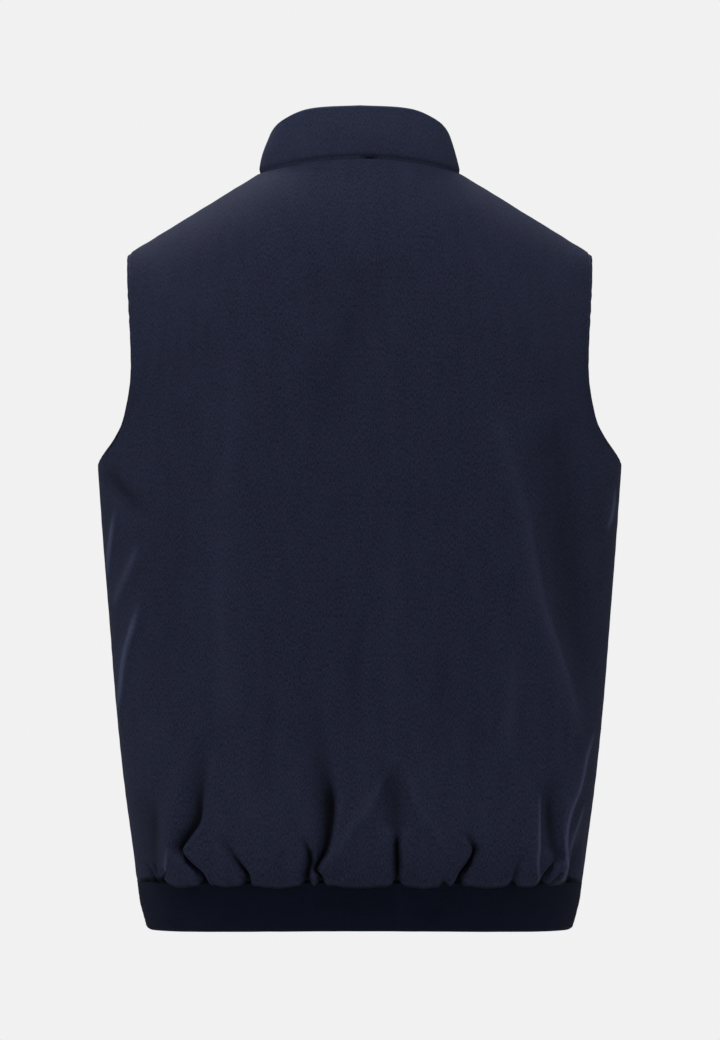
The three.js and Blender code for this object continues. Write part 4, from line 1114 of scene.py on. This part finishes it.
# %% Write shader maths as Python
class Value:
    """A node's output that can be added, multiplied and so on."""

    def __init__(self, finish, socket):
        self.finish, self.socket = finish, socket

    def math(self, operation, *others, first=None):
        values = [self, *others] if first is None else [first, self]
        return self.finish.node("Math", {"operation": operation}, dict(enumerate(values)))

    def __add__(self, other):
        return self.math("ADD", other)

    def __sub__(self, other):
        return self.math("SUBTRACT", other)

    def __mul__(self, other):
        return self.math("MULTIPLY", other)

    def __rsub__(self, other):
        return self.math("SUBTRACT", first=other)

    __radd__, __rmul__ = __add__, __mul__

    def between(self, low, high):
        """0 below low, 1 above high, smooth between."""
        settings = {"interpolation_type": "SMOOTHSTEP"}
        return self.finish.node("MapRange", settings, {0: self, 1: low, 2: high, 3: 0.0, 4: 1.0})


class Finish:
    """The nodes of one material."""

    def __init__(self, name, **constants):
        self.material = bpy.data.materials.new(name)
        self.material.use_nodes = True
        self.tree = self.material.node_tree
        self.shader = self.tree.nodes["Principled BSDF"]
        for socket, value in constants.items():
            self.shader.inputs[socket.replace("_", " ")].default_value = value

    def node(self, kind, settings, inputs, out=0):
        node = self.tree.nodes.new("ShaderNode" + kind)
        for key, value in settings.items():
            setattr(node, key, value)
        for key, value in inputs.items():
            self.feed(node.inputs[key], value)
        return Value(self, node.outputs[out])

    def feed(self, socket, value):
        if isinstance(value, Value):
            self.tree.links.new(value.socket, socket)
        else:
            socket.default_value = value

    def set(self, socket, value):
        self.feed(self.shader.inputs[socket], value)

    def cloth_map(self):
        return self.node("UVMap", {"uv_map": UV_NAME}, {})

    def place(self):
        return self.node("TexCoord", {}, {}, out=3)

    def stretched(self, vector, wide, tall, deep=1.0):
        """Cells of a pattern that are wide by tall metres."""
        return self.node("VectorMath", {"operation": "MULTIPLY"},
                         {0: vector, 1: (1 / wide, 1 / tall, 1 / deep)})

    def noise(self, vector, detail=2.0, roughness=0.5, flat=True):
        return self.node("TexNoise", {"noise_dimensions": "2D" if flat else "3D"},
                         {"Vector": vector, "Scale": 1.0, "Detail": detail, "Roughness": roughness})

    def mix(self, mask, a, b):
        return self.node("Mix", {"data_type": "RGBA"}, {0: mask, 6: a, 7: b}, out=2)

    def bump(self, height, distance, strength=1.0):
        self.set("Normal", self.node("Bump", {}, {
            "Strength": strength, "Distance": distance, "Height": height}))

    def put_on(self, *pieces):
        for piece in pieces:
            piece.data.materials.clear()
            piece.data.materials.append(self.material)


def colour(red, green, blue):
    """A colour from its 8-bit numbers."""
    def linear(level):
        share = level / 255
        return share / 12.92 if share <= 0.04045 else ((share + 0.055) / 1.055) ** 2.4
    return (linear(red), linear(green), linear(blue), 1.0)


# %% [markdown]
# ### Heathered shell cloth
#
# The cloth is woven from yarns of several blues, so close up it shows short upright flecks,
# lighter and darker, with a few teal and violet ones. A photograph of cloth could be tiled,
# but it would repeat. Stretched noise gives flecks of the right width and length.

# %% The shell cloth
shell = Finish("heathered_cloth", Roughness=0.82, Specular_IOR_Level=0.08,
               Sheen_Weight=0.03, Sheen_Roughness=0.45)
shell.shader.inputs["Sheen Tint"].default_value = colour(120, 130, 170)
cloth = shell.cloth_map()
broad = shell.noise(shell.stretched(cloth, 0.012, 0.04), 1.0, 0.5)
flecks = shell.noise(shell.stretched(cloth, 0.0007, 0.0032), 1.0, 0.6)
fine = shell.noise(shell.stretched(cloth, 0.0006, 0.0009), 1.0, 0.5)
specks = shell.noise(shell.stretched(cloth, 0.0009, 0.0024), 0.0, 0.5)
specks_b = shell.noise(shell.stretched(cloth, 0.001, 0.0027), 0.0, 0.5)
tone = (flecks * 0.52 + fine * 0.4 + broad * 0.08).between(0.36, 0.64)
dye_and_painted_shading = shell.mix(tone, colour(22, 24.5, 38), colour(40, 43.5, 65))
dye_and_painted_shading = shell.mix(specks.between(0.6, 0.76) * 0.5, dye_and_painted_shading, colour(24, 50, 66))
dye_and_painted_shading = shell.mix(specks_b.between(0.6, 0.78) * 0.35, dye_and_painted_shading, colour(48, 41, 72))
# Painted shade and painted highlight: near-black in the creases, along the hem seam and at the collar's seam notch, a
# paler blue-grey on the crests and over the collar.
folded = shell.node("Attribute", {"attribute_name": PAINTED_SHADING_NAME}, {}, out=2)
dye_and_painted_shading = shell.mix((folded * -1).between(0.0, 0.9) * 0.4, dye_and_painted_shading, colour(7, 8, 14))
dye_and_painted_shading = shell.mix((folded * -1).between(0.5, 1.0) * 0.92, dye_and_painted_shading, colour(4, 4, 9))
dye_and_painted_shading = shell.mix(folded.between(0.0, 1.0) * 0.42, dye_and_painted_shading, colour(84, 90, 120))
shell.set("Base Color", dye_and_painted_shading)
warp = shell.node("TexWave", {"wave_type": "BANDS", "bands_direction": "X"},
                  {"Vector": shell.stretched(cloth, 0.0009, 0.0009), "Scale": 0.314,
                   "Distortion": 0.6, "Detail": 1.0})
weft = shell.node("TexWave", {"wave_type": "BANDS", "bands_direction": "Y"},
                  {"Vector": shell.stretched(cloth, 0.0009, 0.0009), "Scale": 0.314,
                   "Distortion": 0.6, "Detail": 1.0})
shell.bump(warp * weft * 0.5 + flecks * 0.5 + fine * 0.3, 0.00022)
shell.put_on(back.piece, front_left.piece, front_right.piece, collar)

# %% The knit of the band
knit = Finish("fine_knit", Roughness=0.9, Specular_IOR_Level=0.05,
              Sheen_Weight=0.012, Sheen_Roughness=0.5)
cloth = knit.cloth_map()
wales = knit.node("TexWave", {"wave_type": "BANDS", "bands_direction": "X"},
                  {"Vector": knit.stretched(cloth, 0.0012, 0.0012), "Scale": 0.314,
                   "Distortion": 0.3, "Detail": 1.0})
loops = knit.noise(knit.stretched(cloth, 0.0007, 0.0012), 2.0, 0.5)
wear = knit.noise(knit.stretched(cloth, 0.03, 0.02), 3.0, 0.5)
knit.set("Base Color", knit.mix((wales * 0.5 + loops * 0.35 + wear * 0.35).between(0.3, 0.9),
                                colour(13, 16, 30), colour(21, 25, 43)))
knit.bump(wales * 0.7 + loops * 0.3, 0.00025)
knit.put_on(band)

# %% Thread, tape and metal
thread = Finish("sewing_thread", Roughness=0.55, Specular_IOR_Level=0.15)
place = thread.place()
ply = thread.noise(thread.stretched(place, 0.0006, 0.0006, 0.0006), 1.0, 0.5, flat=False)
thread.set("Base Color", thread.mix(ply, colour(26, 28, 42), colour(62, 66, 90)))
thread.bump(ply, 0.0001)
thread.put_on(edge_stitches)

tape = Finish("woven_tape", Roughness=0.75, Specular_IOR_Level=0.1, Sheen_Weight=0.02)
place = tape.place()
ribs = tape.node("TexWave", {"wave_type": "BANDS", "bands_direction": "Z"},
                 {"Vector": tape.stretched(place, 0.001, 0.001, 0.001), "Scale": 0.314,
                  "Distortion": 0.2})
yarn = tape.noise(tape.stretched(place, 0.0006, 0.0006, 0.0004), 1.0, 0.5, flat=False)
tape.set("Base Color", tape.mix((ribs * 0.5 + yarn * 0.5).between(0.2, 0.8),
                                colour(14, 15, 22), colour(38, 41, 54)))
tape.bump(ribs * 0.6 + yarn * 0.4, 0.0002)
tape.put_on(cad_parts["zip_tape_left"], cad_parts["zip_tape_right"])

metal = Finish("dark_metal", Metallic=1.0)
place = metal.place()
grain = metal.noise(metal.stretched(place, 0.0015, 0.0015, 0.004), 3.0, 0.6, flat=False)
rub = metal.noise(metal.stretched(place, 0.004, 0.004, 0.004), 2.0, 0.5, flat=False)
metal.set("Base Color", metal.mix(rub.between(0.35, 0.7), colour(36, 37, 43), colour(74, 75, 83)))
metal.set("Roughness", grain * 0.25 + 0.33)
metal.bump(grain, 0.00004)
metal.put_on(teeth, slider, pull_tab, stop_box)

# %% Bodies, slots and the nodes that are replaced
for piece, body, slot, node in (
    (back.piece, "vest", "shell", "back"),
    (front_left.piece, "vest", "shell", "front_left"),
    (front_right.piece, "vest", "shell", "front_right"),
    (collar, "vest", "shell", "collar"),
    (band, "vest", "knit", "hem_band"),
    (teeth, "vest", "zip_teeth", "zip_chain"),
    (slider, "vest", "zip_metal", "zip_slider"),
    (stop_box, "vest", "zip_metal", "zip_box"),
    (pull_tab, "pull_tab", "zip_metal", "zip_pull_tab"),
):
    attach(piece, body)
    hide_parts(node)
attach(edge_stitches, "vest")


# %% Sheets of cloth and the sizes they are cut to
def cut_area(points):
    """Area of a grid of points, in square metres."""
    a, b, c, d = points[:-1, :-1], points[:-1, 1:], points[1:, 1:], points[1:, :-1]
    cross = np.cross(c - a, d - b)
    return float(np.linalg.norm(cross, axis=-1).sum() / 2) * MM ** 2


def declare(piece, outer, uv):
    width = round(float(np.ptp(uv[..., 0])) * MM, 3)
    length = round(float(np.ptp(uv[..., 1])) * MM, 3)
    area = min(cut_area(outer), width * length)
    print(piece.name, "is cut to", width, "by", length, "m,", round(area, 4), "m2")


for panel, near in ((back, "collar"), (front_left, "collar"), (front_right, "collar")):
    declare(panel.piece, panel.outer, np.stack([panel.across, panel.up], -1))
declare(collar, collar_outer, collar_uv)
declare(band, band_outer, band_uv)

# %% [markdown]
# ## Floor, light and camera
#
# The vest is held up as on a wearer, so the floor is far below it. The light is one broad
# soft light above each side, so the back and the front are lit alike. The photograph was
# taken from behind, nearly level and from some way off.

# %% Floor
FLOOR_Z = -1.45
bpy.ops.object.select_all(action="DESELECT")
bpy.ops.mesh.primitive_circle_add(vertices=96, radius=4.2, fill_type="NGON", location=(0, 0, FLOOR_Z))
floor = bpy.context.object
floor.name = "floor"
paper = Finish("pale_floor", Roughness=0.9)
place = paper.place()
paper.set("Base Color", paper.mix(paper.noise(paper.stretched(place, 0.4, 0.4, 0.4), flat=False),
                                  colour(232, 232, 232), colour(238, 238, 238)))
paper.put_on(floor)

# %% Light
BACKGROUND = colour(241, 241, 241)
AMBIENT = 0.22
world = bpy.data.worlds.new("studio")
bpy.context.scene.world = world
world.use_nodes = True
nodes, links = world.node_tree.nodes, world.node_tree.links
nodes.clear()
seen = nodes.new("ShaderNodeBackground")
seen.inputs["Color"].default_value = BACKGROUND
lit = nodes.new("ShaderNodeBackground")
lit.inputs["Color"].default_value = (1, 1, 1, 1)
lit.inputs["Strength"].default_value = AMBIENT
path = nodes.new("ShaderNodeLightPath")
both = nodes.new("ShaderNodeMixShader")
output = nodes.new("ShaderNodeOutputWorld")
links.new(path.outputs["Is Camera Ray"], both.inputs[0])
links.new(lit.outputs[0], both.inputs[1])
links.new(seen.outputs[0], both.inputs[2])
links.new(both.outputs[0], output.inputs["Surface"])


def soft_light(name, location, size, power):
    lamp = bpy.data.lights.new(name, "AREA")
    lamp.shape = "DISK"
    lamp.size = size
    lamp.energy = power
    holder = bpy.data.objects.new(name, lamp)
    bpy.context.scene.collection.objects.link(holder)
    holder.location = location
    aim = Vector((0, 0, -0.3)) - holder.location
    holder.rotation_mode = "QUATERNION"
    holder.rotation_quaternion = aim.to_track_quat("-Z", "Y")
    return holder


soft_light("light_behind", (0.4, 1.7, 2.6), 1.2, 80)
soft_light("light_before", (0.4, -1.7, 2.6), 1.2, 80)
soft_light("light_left", (3.0, 0.2, 0.2), 1.4, 16)
soft_light("light_right", (-3.0, 0.2, 0.2), 1.4, 14)

# %% Camera
PIXEL = 0.00092
DISTANCE = 4.5
PICTURE_WIDTH = 720
PICTURE_HEIGHT = 1040
MIDDLE_PIXEL = 359.7
camera = bpy.data.cameras.new("camera")
camera_object = bpy.data.objects.new("camera", camera)
bpy.context.scene.collection.objects.link(camera_object)
camera_object.location = ((MIDDLE_PIXEL - PICTURE_WIDTH / 2) * PIXEL, DISTANCE, -0.318)
camera_object.rotation_euler = (math.pi / 2, 0, math.pi)
camera.sensor_width = 36
camera.lens = camera.sensor_width * DISTANCE / (PICTURE_HEIGHT * PIXEL)
bpy.context.scene.camera = camera_object
bpy.context.scene.view_settings.view_transform = "Standard"
print("lens:", round(camera.lens, 1), "mm")
